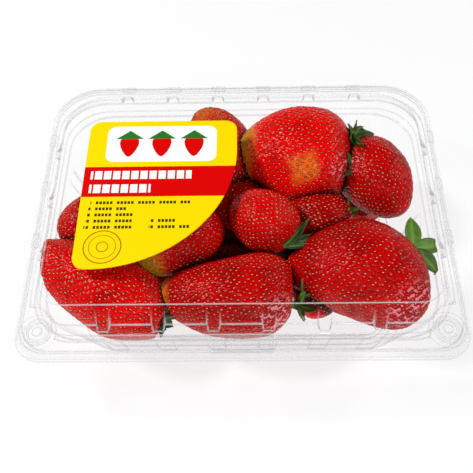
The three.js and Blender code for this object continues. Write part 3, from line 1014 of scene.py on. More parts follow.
@dataclass
class SmallForms:
    """Raised forms on the flange: snap buttons, latch tab and air vents, made of the same sheet."""

    form: BoxForm
    button: tuple[float, float] = (84.6, -62.4)
    tab: tuple[float, float, float] = (26.0, 7.2, -68.6)
    vent: tuple[float, float] = (7.4, 3.4)
    rear_pitch: float = 23.0
    side_vents: tuple[float, ...] = (39.5, 11.0, -18.0)

    def button_profile(self) -> list[tuple[float, float, float]]:
        """Radius, height above the flange and fold of the ringed snap button."""
        return [(8.2, 0.0, 0.0), (7.9, 0.02, 0.8), (7.6, 0.0, 0.0), (6.4, 0.0, 0.0), (6.1, 0.1, 0.8),
                (5.75, 0.5, 0.3), (5.6, 1.0, 0.1), (5.35, 1.4, 0.9), (5.0, 1.5, 0.3), (4.4, 1.5, 0.2),
                (4.1, 1.35, 0.9), (3.8, 0.9, 0.2), (3.5, 0.7, 0.7), (3.2, 0.7, 0.1), (2.6, 0.75, 0.2),
                (2.2, 1.0, 0.8), (1.8, 1.2, 0.7), (1.2, 1.25, 0.0), (0.3, 1.25, 0.0)]

    def turned(self, x: float, y: float, z: float, profile: Sequence[tuple[float, float, float]]) -> Form:
        """A form turned round an upright axis.

        Args:
            x: the axis's place.
            y: the axis's place.
            z: the height of the profile's zero.
            profile: radius, height and fold, from the outside in.

        Returns:
            Points, faces and folds.
        """
        count = 48
        angles = np.linspace(0, 2 * math.pi, count, endpoint=False)
        rings = [np.column_stack([
            x + radius * np.cos(angles), y + radius * np.sin(angles), np.full(count, z + height)])
            for radius, height, _ in profile]
        faces = bridge_rings(count, len(rings))
        faces.append(tuple((len(rings) - 1) * count + i for i in range(count)))
        return np.vstack(rings), faces, np.repeat([fold for _, _, fold in profile], count)

    def raised(self, box: tuple[float, float, float, float], z: float, high: float, corner: float) -> Form:
        """A raised block with round corners and a soft top edge.

        Args:
            box: middle x, middle y, width and depth.
            z: the height that it starts at.
            high: how far it rises.
            corner: the corners' radius.

        Returns:
            Points, faces and folds.
        """
        x, y, width, depth = box
        rings, folds = [], []
        for inset, share, fold in ((-0.35, 0.0, 0.1), (-0.05, 0.12, 0.7), (0.1, 0.5, 0.1), (0.22, 0.85, 0.3),
                                   (0.45, 0.97, 0.9), (0.8, 1.0, 0.0)):
            radius = max(corner - inset, 0.3)
            spots = []
            for sx, sy, first in ((1, -1, -90), (1, 1, 0), (-1, 1, 90), (-1, -1, 180)):
                angles = np.radians(first + np.linspace(0, 90, 7))
                spots.append(np.column_stack([
                    x + sx * (width / 2 - inset - radius) + radius * np.cos(angles),
                    y + sy * (depth / 2 - inset - radius) + radius * np.sin(angles)]))
            flat = np.vstack(spots)
            rings.append(np.column_stack([flat, np.full(len(flat), z + high * share)]))
            folds += [fold] * len(flat)
        count = len(rings[0])
        faces = bridge_rings(count, len(rings))
        faces.append(tuple((len(rings) - 1) * count + i for i in range(count)))
        return np.vstack(rings), faces, np.array(folds)

    def piece(self, name: str, parts: Sequence[Form], finish: bpy.types.Material) -> bpy.types.Object:
        """Make one piece of several forms.

        Args:
            name: the piece's name.
            parts: points, faces and folds of each form.
            finish: the clear sheet.

        Returns:
            The piece.
        """
        points, faces, start = [], [], 0
        for spots, sides, _ in parts:
            points.append(spots)
            faces += [tuple(start + i for i in side) for side in sides]
            start += len(spots)
        piece = add_piece(name, np.vstack(points), faces, finish, 50.0)
        keep_values(piece, "bend", np.concatenate([folds for _, _, folds in parts]))
        return piece

    def build(self, finish: bpy.types.Material) -> list[bpy.types.Object]:
        """Make the forms on the lid and the two that stand under them on the tray.

        Args:
            finish: the clear sheet.

        Returns:
            The lid's piece and the tray's piece.
        """
        form = self.form
        z = form.lid_flange
        width, depth, tab_y = self.tab
        lid_parts = [self.turned(side * self.button[0], self.button[1], z, self.button_profile())
                     for side in (-1, 1)]
        lid_parts.append(self.raised((0, tab_y, width, depth), z, 1.5, 1.2))
        lid_parts.append(self.raised((0, tab_y - 1.2, width - 3.4, 2.2), z + 1.5, 0.35, 0.8))
        edge = z + 0.45
        for i in range(6):
            place = (i - 2.5) * self.rear_pitch
            lid_parts.append(self.raised((place, 72.7, self.vent[0], self.vent[1] - 0.2), edge, 0.9, 0.7))
        for place in self.side_vents:
            for side in (-1, 1):
                lid_parts.append(self.raised((side * 92.1, place, 3.2, self.vent[0]), edge, 0.8, 0.7))
        lid = self.piece("lid_forms", lid_parts, finish)
        low = form.tray_flange
        tray_profile = [(4.75, 0.0, 0.2), (4.5, 0.15, 0.4), (4.3, 0.6, 0.0), (4.2, 1.0, 0.2), (3.9, 1.2, 0.5),
                        (3.4, 1.25, 0.0), (0.4, 1.2, 0.0)]
        tray_parts = [self.turned(side * self.button[0], self.button[1], low, tray_profile)
                      for side in (-1, 1)]
        tray_parts.append(self.raised((0, tab_y, width - 2.4, depth - 2.4), low, 1.2, 0.9))
        tray = self.piece("tray_forms", tray_parts, finish)
        return [lid, tray]


@dataclass
class HingeCrease:
    """The crease that joins the two flanges along the rear."""

    form: BoxForm
    half_length: float = 70.0
    radius: float = 0.42

    def build(self, finish: bpy.types.Material) -> bpy.types.Object:
        """Make the crease.

        Args:
            finish: the clear sheet.

        Returns:
            The piece.
        """
        across = np.linspace(-self.half_length, self.half_length, 57)
        angles = np.radians(np.linspace(-90, 90, 9))
        points = []
        for angle in angles:
            y = self.form.flange_half_y + self.radius * math.cos(angle)
            z = self.form.parting_z + self.radius * math.sin(angle)
            points.append(np.column_stack([across, np.full_like(across, y), np.full_like(across, z)]))
        count = len(across)
        faces = [(r * count + i, (r + 1) * count + i, (r + 1) * count + i + 1, r * count + i + 1)
                 for r in range(len(angles) - 1) for i in range(count - 1)]
        piece = add_piece("hinge_crease", np.vstack(points), faces, finish)
        keep_values(piece, "bend", np.full(len(angles) * count, 0.4))
        return piece


@dataclass
class Sticker:
    """The label: a straight left and top edge and a quarter-round edge to the lower right."""

    form: BoxForm
    left: float = -70.6
    top: float = 39.6
    arc_x: float = -64.0
    arc_y: float = 22.0
    arc_radius: float = 62.4
    corner: float = 5.5
    lift: float = 0.3
    thickness: float = 0.25

    def outline(self) -> Array:
        """The label's edge, anticlockwise."""
        right = self.arc_x + self.arc_radius
        low = self.arc_y - self.arc_radius
        c = self.corner
        arcs = [
            (self.left + c, self.top - c, c, 180, 90, 10),
            (right - c, self.top - c, c, 90, 0, 10),
            (self.arc_x, self.arc_y, self.arc_radius, 0, -90, 64),
            (self.left + c, low + c, c, -90, -180, 10),
        ]
        points = []
        for x, y, radius, first, last, steps in arcs:
            angles = np.radians(np.linspace(first, last, steps + 1))
            points.append(np.column_stack([x + radius * np.cos(angles), y + radius * np.sin(angles)]))
        return np.vstack(points)[::-1]

    def build(self, finish: bpy.types.Material) -> bpy.types.Object:
        """Make the label.

        Args:
            finish: the print.

        Returns:
            The piece.
        """
        edge = self.outline()
        keep = np.linalg.norm(np.roll(edge, -1, axis=0) - edge, axis=1) > 1e-3
        edge = edge[keep]
        low = self.form.parting_z + self.form.dome + 0.05
        high = self.form.parting_z + self.form.dome + self.lift + self.thickness
        count = len(edge)
        middle = edge.mean(axis=0)
        rings = []
        for z, inset in ((low, 0.0), (high - 0.08, 0.0), (high, 0.1)):
            inward = (middle - edge) / np.linalg.norm(middle - edge, axis=1)[:, None]
            rings.append(np.column_stack([edge + inset * inward, np.full(count, z)]))
        faces = bridge_rings(count, 3)
        faces.append(tuple(2 * count + i for i in range(count)))
        faces.append(tuple(reversed(range(count))))
        return add_piece("corner_label", np.vstack(rings), faces, finish, 30.0)


@dataclass
class Room:
    """The space inside the shut box that the fruit has to stay in."""

    form: BoxForm
    gap: float = 0.65

    def keys(self) -> Array:
        """Rows of height, half width, half depth and corner radii of the inner wall."""
        return np.array([
            [0.0, 73.0, 49.0, 15.0, 15.0],
            [2.5, 76.3, 52.3, 18.0, 18.0],
            [40.3, 85.3, 61.1, 21.0, 21.0],
            [41.6, 87.6, 63.9, 21.0, 21.0],
            [45.9, 88.2, 64.6, 21.0, 21.0],
            [46.6, 89.4, 66.0, 21.0, 21.5],
            [49.4, 88.6, 64.8, 20.0, 21.0],
            [50.3, 86.0, 60.8, 15.0, 20.0],
            [60.5, 83.3, 56.7, 11.0, 20.0],
        ])

    def press(self, points: Array, soft: float = 0.0) -> Array:
        """Move points in to the wall, floor and lid where they would pass through.

        Args:
            points: places in millimetres; changed in place.
            soft: how gently points near the wall give way, in millimetres.

        Returns:
            How far each point was moved.
        """
        before = points.copy()
        floor = 1.3
        ceiling = self.form.parting_z + self.form.dome - self.gap
        points[:, 2] = np.clip(points[:, 2], floor, ceiling)
        keys = self.keys()
        half_x, half_y, front, rear = (np.interp(points[:, 2], keys[:, 0], keys[:, i]) for i in range(1, 5))
        radius = np.where(points[:, 1] > 0, rear, front)
        half = np.stack([half_x, half_y], axis=1) - self.gap - radius[:, None]
        out = np.abs(points[:, :2]) - half
        round_corner = np.linalg.norm(np.maximum(out, 0.0), axis=1)
        inside = radius - round_corner
        if soft:
            inside = soft * np.logaddexp(0.0, inside / soft)
        mask = (round_corner > radius) | (soft > 0)
        scale = np.where(mask, (radius - np.maximum(inside, 0.0)) / np.maximum(round_corner, 1e-6), 1.0)
        pulled = half + np.maximum(out, 0.0) * scale[:, None]
        both = mask[:, None] & (out > 0)
        points[:, :2] = np.where(both, np.sign(points[:, :2]) * pulled, points[:, :2])
        return np.linalg.norm(points - before, axis=1)


@dataclass(frozen=True)
class Berry:
    """One strawberry: where it lies, its size and shape, how ripe its tip is and how its seeds lie.

    depth is how deep its red is, and shade how much painted shade it gets for lying under the others. A
    contact or blush is a ball, its middle and radius: in a contact ball the skin counts as pressed and gets
    the painted wet sheen of skin on the plastic, in a blush it is paler.
    """

    x: float
    y: float
    z: float
    length: float
    width: float
    heading: float
    pitch: float
    blunt: float
    wide: float = 0.4
    lean: float = 0.0
    green_tip: float = 0.0
    spacing: float = 3.2
    depth: float = 0.3
    shade: float = 0.0
    contact_sheen: tuple[float, float, float, float] | None = None
    blush: tuple[float, float, float, float] | None = None

    def profile(self, t: Array) -> Array:
        """Half width as a share of the greatest, from the crown at 0 to the tip at 1."""
        crown = np.clip(1 - t / self.wide, 0, 1)
        tip = np.clip((t - self.wide) / (1 - self.wide), 0, 1)
        roundness = 1.25 + 0.85 * self.blunt
        power = 0.72 - 0.2 * self.blunt
        return np.where(t < self.wide, (1 - crown ** 2.3) ** 0.5, (1 - tip ** roundness) ** power)

    def matrix(self) -> Matrix:
        """The turn and place that take the berry from its own axis to the heap."""
        turn = Matrix.Rotation(math.radians(self.heading), 4, "Z") @ Matrix.Rotation(
            -math.radians(self.pitch), 4, "Y")
        return Matrix.Translation((self.x, self.y, self.z)) @ turn

    def placed(self, points: Array) -> Array:
        """Take points from the berry's own axis to the heap."""
        matrix = np.array(self.matrix())
        return points @ matrix[:3, :3].T + matrix[:3, 3]


@dataclass(frozen=True)
class Crown:
    """One crown of leaves: its middle, where it faces, its leaves and how freely they curl."""

    x: float
    y: float
    z: float
    heading: float
    pitch: float
    leaves: int
    length: float
    width: float
    first: float = 0.0
    sweep: float = 360.0
    lift: float = 0.3
    light: float = 0.3
    play: float = 1.0

    def placed(self, points: Array) -> Array:
        """Take points from the crown's own axis, +X outwards, to the heap."""
        turn = Matrix.Rotation(math.radians(self.heading), 4, "Z") @ Matrix.Rotation(
            -math.radians(self.pitch), 4, "Y")
        matrix = np.array(Matrix.Translation((self.x, self.y, self.z)) @ turn)
        return points @ matrix[:3, :3].T + matrix[:3, 3]


@dataclass
class BerryShape:
    """The smooth skin of one berry as a function of its place along and round the axis."""

    berry: Berry
    number: int

    def __post_init__(self) -> None:
        """Draw this berry's own lumps and work out how its area grows along the axis."""
        draw = np.random.default_rng(40 + self.number)
        self.phases = draw.uniform(0, 2 * math.pi, 6)
        self.lumps = draw.uniform(0.4, 1.0, 4)
        self.bend = draw.uniform(-1, 1, 2) * 0.035 * self.berry.length
        self.along = np.linspace(0, 1, 600)
        radius = self.berry.width / 2 * self.berry.profile(self.along)
        step = np.hypot(np.gradient(radius, self.along), self.berry.length)
        area = np.cumsum(2 * math.pi * radius * step) * (self.along[1] - self.along[0])
        self.area = float(area[-1])
        self.share = area / area[-1]

    def point(self, t: Array, around: Array) -> Array:
        """Points of the skin on the berry's own axis, crown towards -X.

        Args:
            t: place along the axis, 0 to 1.
            around: angle round it.

        Returns:
            One row per point.
        """
        p = self.phases
        swell = np.sin(math.pi * t)
        lumps = 1 + swell * (
            0.035 * self.lumps[0] * np.cos(2 * (around - p[0]))
            + 0.03 * self.lumps[1] * np.cos(3 * (around - p[1]) + 2.0 * t)
            + 0.02 * self.lumps[2] * np.cos(5 * (around - p[2]) + 4.0 * t)
            + 0.02 * self.lumps[3] * np.sin(9.0 * t + 2 * around + p[3]))
        radius = self.berry.width / 2 * self.berry.profile(t) * lumps
        length = self.berry.length
        dimple = 0.05 * length * np.exp(-(t / 0.03) ** 2)
        lean = self.berry.lean * np.maximum(1 - t / 0.55, 0.0) ** 1.5
        return np.stack([
            (t - 0.5) * length + dimple,
            radius * np.cos(around) + self.bend[0] * (swell - 0.6) + lean,
            radius * np.sin(around) + self.bend[1] * (swell - 0.6),
        ], axis=1)

    def frame_at(self, t: Array, around: Array) -> tuple[Array, Array, Array]:
        """Steps of the skin per unit of t and of angle, and its outward normal.

        Args:
            t: place along the axis.
            around: angle round it.

        Returns:
            The two steps and the unit normal, one row per point.
        """
        h = 1e-4
        low, high = np.clip(t - h, 1e-5, 1), np.clip(t + h, 0, 1 - 1e-5)
        along = (self.point(high, around) - self.point(low, around)) / (high - low)[:, None]
        turn = (self.point(t, around + h) - self.point(t, around - h)) / (2 * h)
        normal = np.cross(turn, along)
        size = np.linalg.norm(normal, axis=1)
        flat = size < 1e-3
        normal[flat] = np.where(t[flat, None] > 0.5, [[1.0, 0, 0]], [[-1.0, 0, 0]])
        size[flat] = 1.0
        return along, turn, normal / size[:, None]

    def t_at(self, share: Array) -> Array:
        """The place along the axis that has a given share of the area behind it."""
        return np.interp(share, self.share, self.along)

    def share_at(self, t: Array) -> Array:
        """The share of the area behind a place along the axis."""
        return np.interp(t, self.along, self.share)


@dataclass
class BerryMesh:
    """Points, faces and skin values of one berry, with the seeds' places."""

    points: Array
    faces: Array
    skin: Array
    seeds: Array
    seed_frames: Array
    ridge: Array
    depth: float
    near: Array | None = None


class BerryMaker:
    """Builds berries with a pit round every seed and a ridge between the pits."""

    pit_ring = 1.12
    pit_floor = 0.5
    depth = 0.55
    swell = 0.2
    stray = 0.1
    soft_press = 1.3
    soft_start = 0.9
    # How strongly a press on the wall shows as the painted wet sheen.
    wall_contact_sheen = 0.7
    blush_strength = 0.42
    ridge_share = 4.4
    ridge_gap = 1.42

    def __init__(self, room: Room) -> None:
        """Keep the room that the berries are pressed into."""
        self.room = room

    def seeds(self, shape: BerryShape) -> tuple[Array, Array]:
        """Places of the seeds in a spiral lattice, closer together towards the tip.

        Args:
            shape: the berry's skin.

        Returns:
            Place along the axis and angle round it.
        """
        spacing = shape.berry.spacing
        count = int(shape.area / (0.87 * spacing * spacing))
        draw = np.random.default_rng(900 + shape.number)
        k = np.arange(count)
        share = np.power((k + 0.5) / count, 0.93)
        share = np.clip(share + draw.uniform(-0.22, 0.22, count) / count, 0.0, 1.0)
        t = shape.t_at(share)
        around = k * GOLDEN_ANGLE + draw.uniform(-0.02, 0.02, count)
        keep = (t > 0.006) & (t < 0.992)
        return t[keep], around[keep]

    def build(self, berry: Berry, number: int) -> BerryMesh:
        """Make one berry.

        Args:
            berry: its sizes and place.
            number: which one it is, for its own lumps.

        Returns:
            The mesh data in the heap's frame.
        """
        shape = BerryShape(berry, number)
        seed_t, seed_around = self.seeds(shape)
        ratio = berry.spacing / 3.2
        along, turn, _ = shape.frame_at(seed_t, seed_around)
        step_t = np.linalg.norm(along, axis=1)
        step_turn = np.maximum(np.linalg.norm(turn, axis=1), 1.6)
        shift = np.random.default_rng(70 + number).normal(0.0, self.stray * berry.spacing, (2, len(seed_t)))
        seed_t = np.clip(seed_t + shift[0] / step_t, 0.005, 0.99)
        seed_around = seed_around + shift[1] / np.maximum(step_turn, 4.0)
        narrow = np.clip(np.linalg.norm(turn, axis=1) / 5.0, 0.55, 1.0)
        groups = []
        for radius, count, height in ((self.pit_floor, 4, -self.depth), (self.pit_ring, 6, -0.06)):
            for i in range(count):
                angle = 2 * math.pi * (i + 0.5 * (radius < 1)) / count
                t = seed_t + ratio * narrow * radius * 1.12 * math.cos(angle) / step_t
                around = seed_around + ratio * narrow * radius * math.sin(angle) / step_turn
                groups.append((np.clip(t, 0.001, 0.9985), around, np.full_like(t, height)))
        groups.append((seed_t, seed_around, np.full_like(seed_t, -self.depth)))
        groups.append(self.between_seeds(shape, seed_t, seed_around, ratio))
        groups.append((np.array([1e-4, 1 - 1e-4]), np.zeros(2), np.zeros(2)))
        t, around, height = (np.concatenate([group[i] for group in groups]) for i in range(3))
        normal = shape.frame_at(t, around)[2]
        fade = np.clip((1.0 - t) / 0.05, 0.35, 1.0) * np.clip(t / 0.006, 0.0, 1.0)
        points = berry.placed(shape.point(t, around))
        pressed = np.clip((self.room.press(points, self.soft_press) - self.soft_start) * 2.0, 0.0, 1.0)
        relief = (height * fade - self.swell * pressed) * ratio
        points += (normal @ np.array(berry.matrix())[:3, :3].T) * relief[:, None]
        self.room.press(points)
        # pressed also goes into the skin attribute, where it paints the wet sheen of skin touching the
        # plastic; a contact ball adds that sheen without moving the skin.
        pressed *= self.wall_contact_sheen
        if berry.contact_sheen:
            away = np.linalg.norm(points - np.array(berry.contact_sheen[:3]), axis=1)
            pressed = np.maximum(pressed, 1.0 - smooth(away, 0.55 * berry.contact_sheen[3], berry.contact_sheen[3]))
        green = self.greenness(berry, t, points)
        if berry.blush:
            away = np.linalg.norm(points - np.array(berry.blush[:3]), axis=1)
            away += 5.0 * np.array([noise.noise(Vector(point) * 0.14) for point in points])
            spread = smooth(away, 0.2 * berry.blush[3], berry.blush[3])
            green = np.maximum(green, self.blush_strength * (1.0 - spread))
        skin = np.stack([
            green,
            np.clip(-height / self.depth, 0.0, 1.0) * fade,
            pressed,
        ], axis=1)
        seed_points = points[self.seed_slice(len(seed_t))]
        frames = self.seed_frames(berry, shape, seed_t, seed_around)
        ridge = np.clip(height / self.swell, 0.0, 1.0)
        faces = self.wrap(shape, t, around)
        return BerryMesh(points, faces, skin, seed_points, frames, ridge, berry.depth)

    def seed_slice(self, count: int) -> slice:
        """Where the seeds' own points lie in the berry's points."""
        return slice(10 * count, 11 * count)

    def greenness(self, berry: Berry, t: Array, points: Array) -> Array:
        """How unripe each point is, from 0 to 1: the tip of some berries, with a ragged edge."""
        ragged = np.array([noise.noise(Vector(point) * 0.09) for point in points])
        reach = 0.52 * berry.green_tip
        share = 1.5 * (t - (1.0 - reach)) / max(reach, 1e-3) + 0.35 * ragged
        return np.clip(share, 0.0, 1.0) * (berry.green_tip > 0)

    def between_seeds(self, shape: BerryShape, seed_t: Array, seed_around: Array, ratio: float) -> tuple:
        """The swollen skin between the pits.

        Args:
            shape: the berry's skin.
            seed_t: the seeds' places along the axis.
            seed_around: their angles.
            ratio: the seeds' spacing against the usual one.

        Returns:
            Places along and round the axis and how far the skin swells there.
        """
        seeds = shape.point(seed_t, seed_around)
        count = int(len(seed_t) * self.ridge_share)
        k = np.arange(count) + 0.37
        t = shape.t_at((k + 0.13) / (count + 1))
        around = k * GOLDEN_ANGLE + 1.1
        spots = shape.point(t, around)
        tree = KDTree(len(seeds))
        for number, seed in enumerate(seeds):
            tree.insert(seed, number)
        tree.balance()
        nearest = np.array([tree.find(spot)[2] for spot in spots])
        keep = nearest > self.ridge_gap * ratio
        return t[keep], around[keep], np.full(int(keep.sum()), self.swell)

    def seed_frames(self, berry: Berry, shape: BerryShape, t: Array, around: Array) -> Array:
        """The seeds' directions: towards the tip, across and outwards."""
        along, _, normal = shape.frame_at(t, around)
        along /= np.linalg.norm(along, axis=1)[:, None]
        across = np.cross(normal, along)
        spin = np.array(berry.matrix())[:3, :3]
        return np.stack([along @ spin.T, across @ spin.T, normal @ spin.T], axis=1)

    def wrap(self, shape: BerryShape, t: Array, around: Array) -> Array:
        """Join a berry's points into triangles.

        The points go onto a ball, where the hull of them all is the net of faces.

        Args:
            shape: the berry's skin.
            t: places along the axis.
            around: angles round it.

        Returns:
            Three point numbers per face.
        """
        height = 2.0 * shape.share_at(t) - 1.0
        height = np.clip(height, -1.0, 1.0)
        ring = np.sqrt(np.maximum(1.0 - height * height, 0.0))
        ball = np.stack([height, ring * np.cos(around), ring * np.sin(around)], axis=1)
        net = bmesh.new()
        for spot in ball:
            net.verts.new(spot)
        net.verts.ensure_lookup_table()
        net.verts.index_update()
        bmesh.ops.convex_hull(net, input=net.verts, use_existing_faces=False)
        net.faces.ensure_lookup_table()
        faces = np.array([[corner.vert.index for corner in face.loops] for face in net.faces])
        net.free()
        a, b, c = (ball[faces[:, i]] for i in range(3))
        inward = np.einsum("ij,ij->i", np.cross(b - a, c - a), a + b + c) < 0
        faces[inward] = faces[inward][:, ::-1]
        return faces


class StrawberryHeap:
    """All berries: flesh, seeds, crown leaves and the dark core of painted shade under them."""

    def __init__(self, room: Room) -> None:
        """Keep the room and lay out the berries."""
        self.room = room
        self.berries = self.lay_out()
        self.crowns = self.lay_crowns()

    def lay_out(self) -> list[Berry]:
        """The berries, the ones that show first; the last eight are only here, not in the solids."""
        return [
            Berry(-64.6, -35.6, 36, 74, 37, 152, 9, 0.7, 0.38, spacing=2.4, depth=0.25),
            Berry(-70.5, -3.1, 34, 40, 32, -160, 0, 0.8, 0.4, spacing=2.3, depth=0.5),
            Berry(-28.2, -15.6, 41, 45, 29, -141, 2, 0.55, 0.42, green_tip=0.5, spacing=2.35),
            Berry(10.5, -4.9, 42.5, 34, 29, 150, 10, 1.0, 0.45, spacing=2.3, depth=0.35),
            Berry(-6.6, -41.1, 36, 63, 39, 180, 2, 0.62, 0.33, lean=-3, green_tip=0.22, spacing=2.4,
                  depth=0.6, contact_sheen=(12.6, -50.6, 40, 13)),
            Berry(51.9, -26.7, 34.5, 65, 48, 180, 1, 0.5, 0.38, lean=12, spacing=2.6,
                  depth=0.62, contact_sheen=(72.5, -48, 42, 15)),
            Berry(26.5, 37.0, 36, 59, 49, 176, 0, 0.85, 0.36, green_tip=0.38, spacing=2.5,
                  depth=0.0, contact_sheen=(49.2, 19.3, 49, 9), blush=(30.0, 19.5, 49.5, 12)),
            Berry(66.6, 25.0, 33, 46, 35, -58, 3, 0.95, 0.36, spacing=2.5, depth=0.6,
                  contact_sheen=(53.5, 27, 42, 9)),
            Berry(-10.9, 43.8, 32, 56, 34, 106, 10, 0.8, 0.45, green_tip=0.35, spacing=2.5,
                  depth=0.5, blush=(-19.0, 57.0, 46, 15)),
            Berry(36.4, 3.7, 29, 34, 28, 176, 10, 0.8, 0.4, spacing=2.4, depth=0.7, shade=0.3),
            Berry(35.5, -29.5, 24, 34, 27, -100, 4, 0.8, 0.4, spacing=2.6),
            Berry(-45.4, 15.5, 30, 46, 32, 35, 0, 0.6, 0.4, spacing=2.9),
            # These berries lie under the others and carry painted shade through their shade value.
            Berry(-46, -20, 14, 40, 25, 20, 0, 0.7, shade=0.6),
            Berry(-10, -18, 14.5, 42, 26, 200, 0, 0.6, shade=0.6),
            Berry(12, 2, 15, 36, 27, 60, 0, 0.7, shade=0.6),
            Berry(50, -10, 13, 38, 23, 150, 0, 0.7, shade=0.6),
            Berry(-20, 18, 14, 42, 26, -30, 0, 0.7, shade=0.6),
            Berry(-4, 20, 23.5, 48, 31, 140, 0, 0.7, depth=0.8, shade=0.4),
            Berry(24, 38, 12.8, 40, 25, 20, 0, 0.7, shade=0.3),
            Berry(61, 31, 12.2, 34, 24, 118, 0, 0.7, shade=0.3),
            Berry(62, -21, 12.2, 32, 24, 100, 0, 0.7, shade=0.3),
            Berry(-60, -24, 12.4, 38, 24, 150, 0, 0.7, shade=0.3),
            Berry(-8, -34, 12.2, 38, 24, 4, 0, 0.7, shade=0.3),
            Berry(-62, 10, 12.2, 34, 24, 95, 0, 0.7, shade=0.3),
            Berry(-13, 41, 12, 32, 23, 170, 0, 0.7, shade=0.3),
        ]

    def lay_crowns(self) -> list[Crown]:
        """The crowns that show, each on its berry's broad end."""
        return [
            Crown(75.5, -23.5, 46.5, 0, 70, 3, 17, 9.0, first=262, sweep=-170, lift=0.1, light=0.7, play=0.5),
            Crown(54.0, 38.5, 46, 0, 20, 13, 11.5, 8, lift=0.25, light=0.4),
            Crown(54.5, 24.0, 41, 140, 15, 7, 10, 5, light=0.1),
            Crown(18.5, -22.0, 46, 33, 80, 6, 19, 4.2, first=164, sweep=44, lift=-0.1, light=0.2, play=0.25),
            Crown(24.5, -44.0, 35, -8, 10, 8, 10, 5.5, light=0.6),
            Crown(-36.0, -48.0, 27, -30, 0, 7, 9, 5, light=0.2),
            Crown(50.5, 4.4, 33, 0, 25, 6, 7, 4, light=0.6),
        ]

    def build(self, skin: bpy.types.Material, seed: bpy.types.Material, leaf: bpy.types.Material,
              core: bpy.types.Material) -> list[bpy.types.Object]:
        """Make every piece of the heap.

        Args:
            skin: the flesh's finish.
            seed: the seeds' finish.
            leaf: the leaves' finish.
            core: the core's finish.

        Returns:
            The pieces.
        """
        maker = BerryMaker(self.room)
        meshes = [maker.build(berry, i) for i, berry in enumerate(self.berries)]
        groups = {"berries_front": (0, 1, 2, 4, 5), "berries_rear": (3, 6, 7, 8, 9, 11),
                  "berries_under": (10, *range(12, 25))}
        for number, mesh in enumerate(meshes):
            mesh.near = self.nearness(number, mesh.points)
        pieces = [self.flesh(name, [meshes[i] for i in members], skin) for name, members in groups.items()]
        front = groups["berries_front"]
        rest = [number for number in range(len(meshes)) if number not in front]
        pieces.append(self.seeds("berry_seeds_front", [meshes[i] for i in front], seed))
        pieces.append(self.seeds("berry_seeds_rear", [meshes[i] for i in rest], seed))
        pieces.append(self.leaves(leaf))
        pieces.append(self.core(core))
        return pieces

    def nearness(self, number: int, points: Array) -> Array:
        """How much painted shade the skin of one berry gets, from 0 to 1: more the closer it is to the other
        berries, and never less than the berry's own shade.

        Args:
            number: which berry the points are on.
            points: places on its skin.

        Returns:
            One number per point.
        """
        reach = 3.6
        close = np.full(len(points), self.berries[number].shade)
        for other, berry in enumerate(self.berries):
            if other == number:
                continue
            matrix = np.array(berry.matrix())
            local = (points - matrix[:3, 3]) @ matrix[:3, :3]
            t = np.clip(local[:, 0] / berry.length + 0.5, 0.0, 1.0)
            radius = berry.width / 2 * berry.profile(t)
            over = np.maximum(np.abs(local[:, 0]) - berry.length / 2, 0.0)
            gap = np.hypot(np.linalg.norm(local[:, 1:], axis=1) - radius, over)
            inside = (np.linalg.norm(local[:, 1:], axis=1) < radius) & (over < 0.01)
            close = np.maximum(close, np.where(inside, 1.0, np.exp(-gap / reach)))
        return close

    def flesh(self, name: str, meshes: Sequence[BerryMesh], finish: bpy.types.Material) -> bpy.types.Object:
        """Join berries into one piece with their skin values.

        Args:
            name: the piece's name.
            meshes: the berries.
            finish: the skin.

        Returns:
            The piece.
        """
        points, faces, values, start = [], [], [], 0
        for mesh in meshes:
            points.append(mesh.points)
            faces.append(mesh.faces + start)
            values.append(mesh.skin)
            start += len(mesh.points)
        piece = add_piece(name, np.vstack(points), np.vstack(faces), finish, None)
        keep_values(piece, "skin", np.vstack(values))
        near = np.concatenate([mesh.near for mesh in meshes])
        ridge = np.concatenate([mesh.ridge for mesh in meshes])
        depth = np.concatenate([np.full(len(mesh.points), mesh.depth) for mesh in meshes])
        # near carries the painted shade between berries, the ridge height and the depth of the red.
        keep_values(piece, "near", np.stack([near, ridge, depth], axis=1))
        return piece

    def seeds(self, name: str, meshes: Sequence[BerryMesh], finish: bpy.types.Material) -> bpy.types.Object:
        """Make the seeds of some berries as one piece: small drops lying in their pits.

        Args:
            name: the piece's name.
            meshes: the berries.
            finish: the seeds' finish.

        Returns:
            The piece.
        """
        sides = 4
        angles = np.linspace(0, 2 * math.pi, sides, endpoint=False)
        rings = [(-0.4, 0.42), (0.35, 0.36)]
        shape = [(-0.85, 0.0, 0.0)]
        for x, radius in rings:
            shape += [(x, radius * math.cos(a), 0.55 * radius * math.sin(a)) for a in angles]
        shape.append((0.95, 0.0, 0.0))
        shape = np.array(shape)
        faces = [(0, 1 + (i + 1) % sides, 1 + i) for i in range(sides)]
        for i in range(sides):
            a, b = 1 + i, 1 + (i + 1) % sides
            faces += [(a, b, b + sides), (a, b + sides, a + sides)]
        last = 1 + sides
        faces += [(last + i, last + (i + 1) % sides, len(shape) - 1) for i in range(sides)]
        faces = np.array(faces)
        points, sides_all, start = [], [], 0
        draw = np.random.default_rng(7)
        for mesh in meshes:
            for spot, axes in zip(mesh.seeds, mesh.seed_frames):
                size = draw.uniform(0.4, 0.6)
                points.append(spot + 0.17 * axes[2] + (shape * size) @ axes)
                sides_all.append(faces + start)
                start += len(shape)
        return add_piece(name, np.vstack(points), np.vstack(sides_all), finish, None)

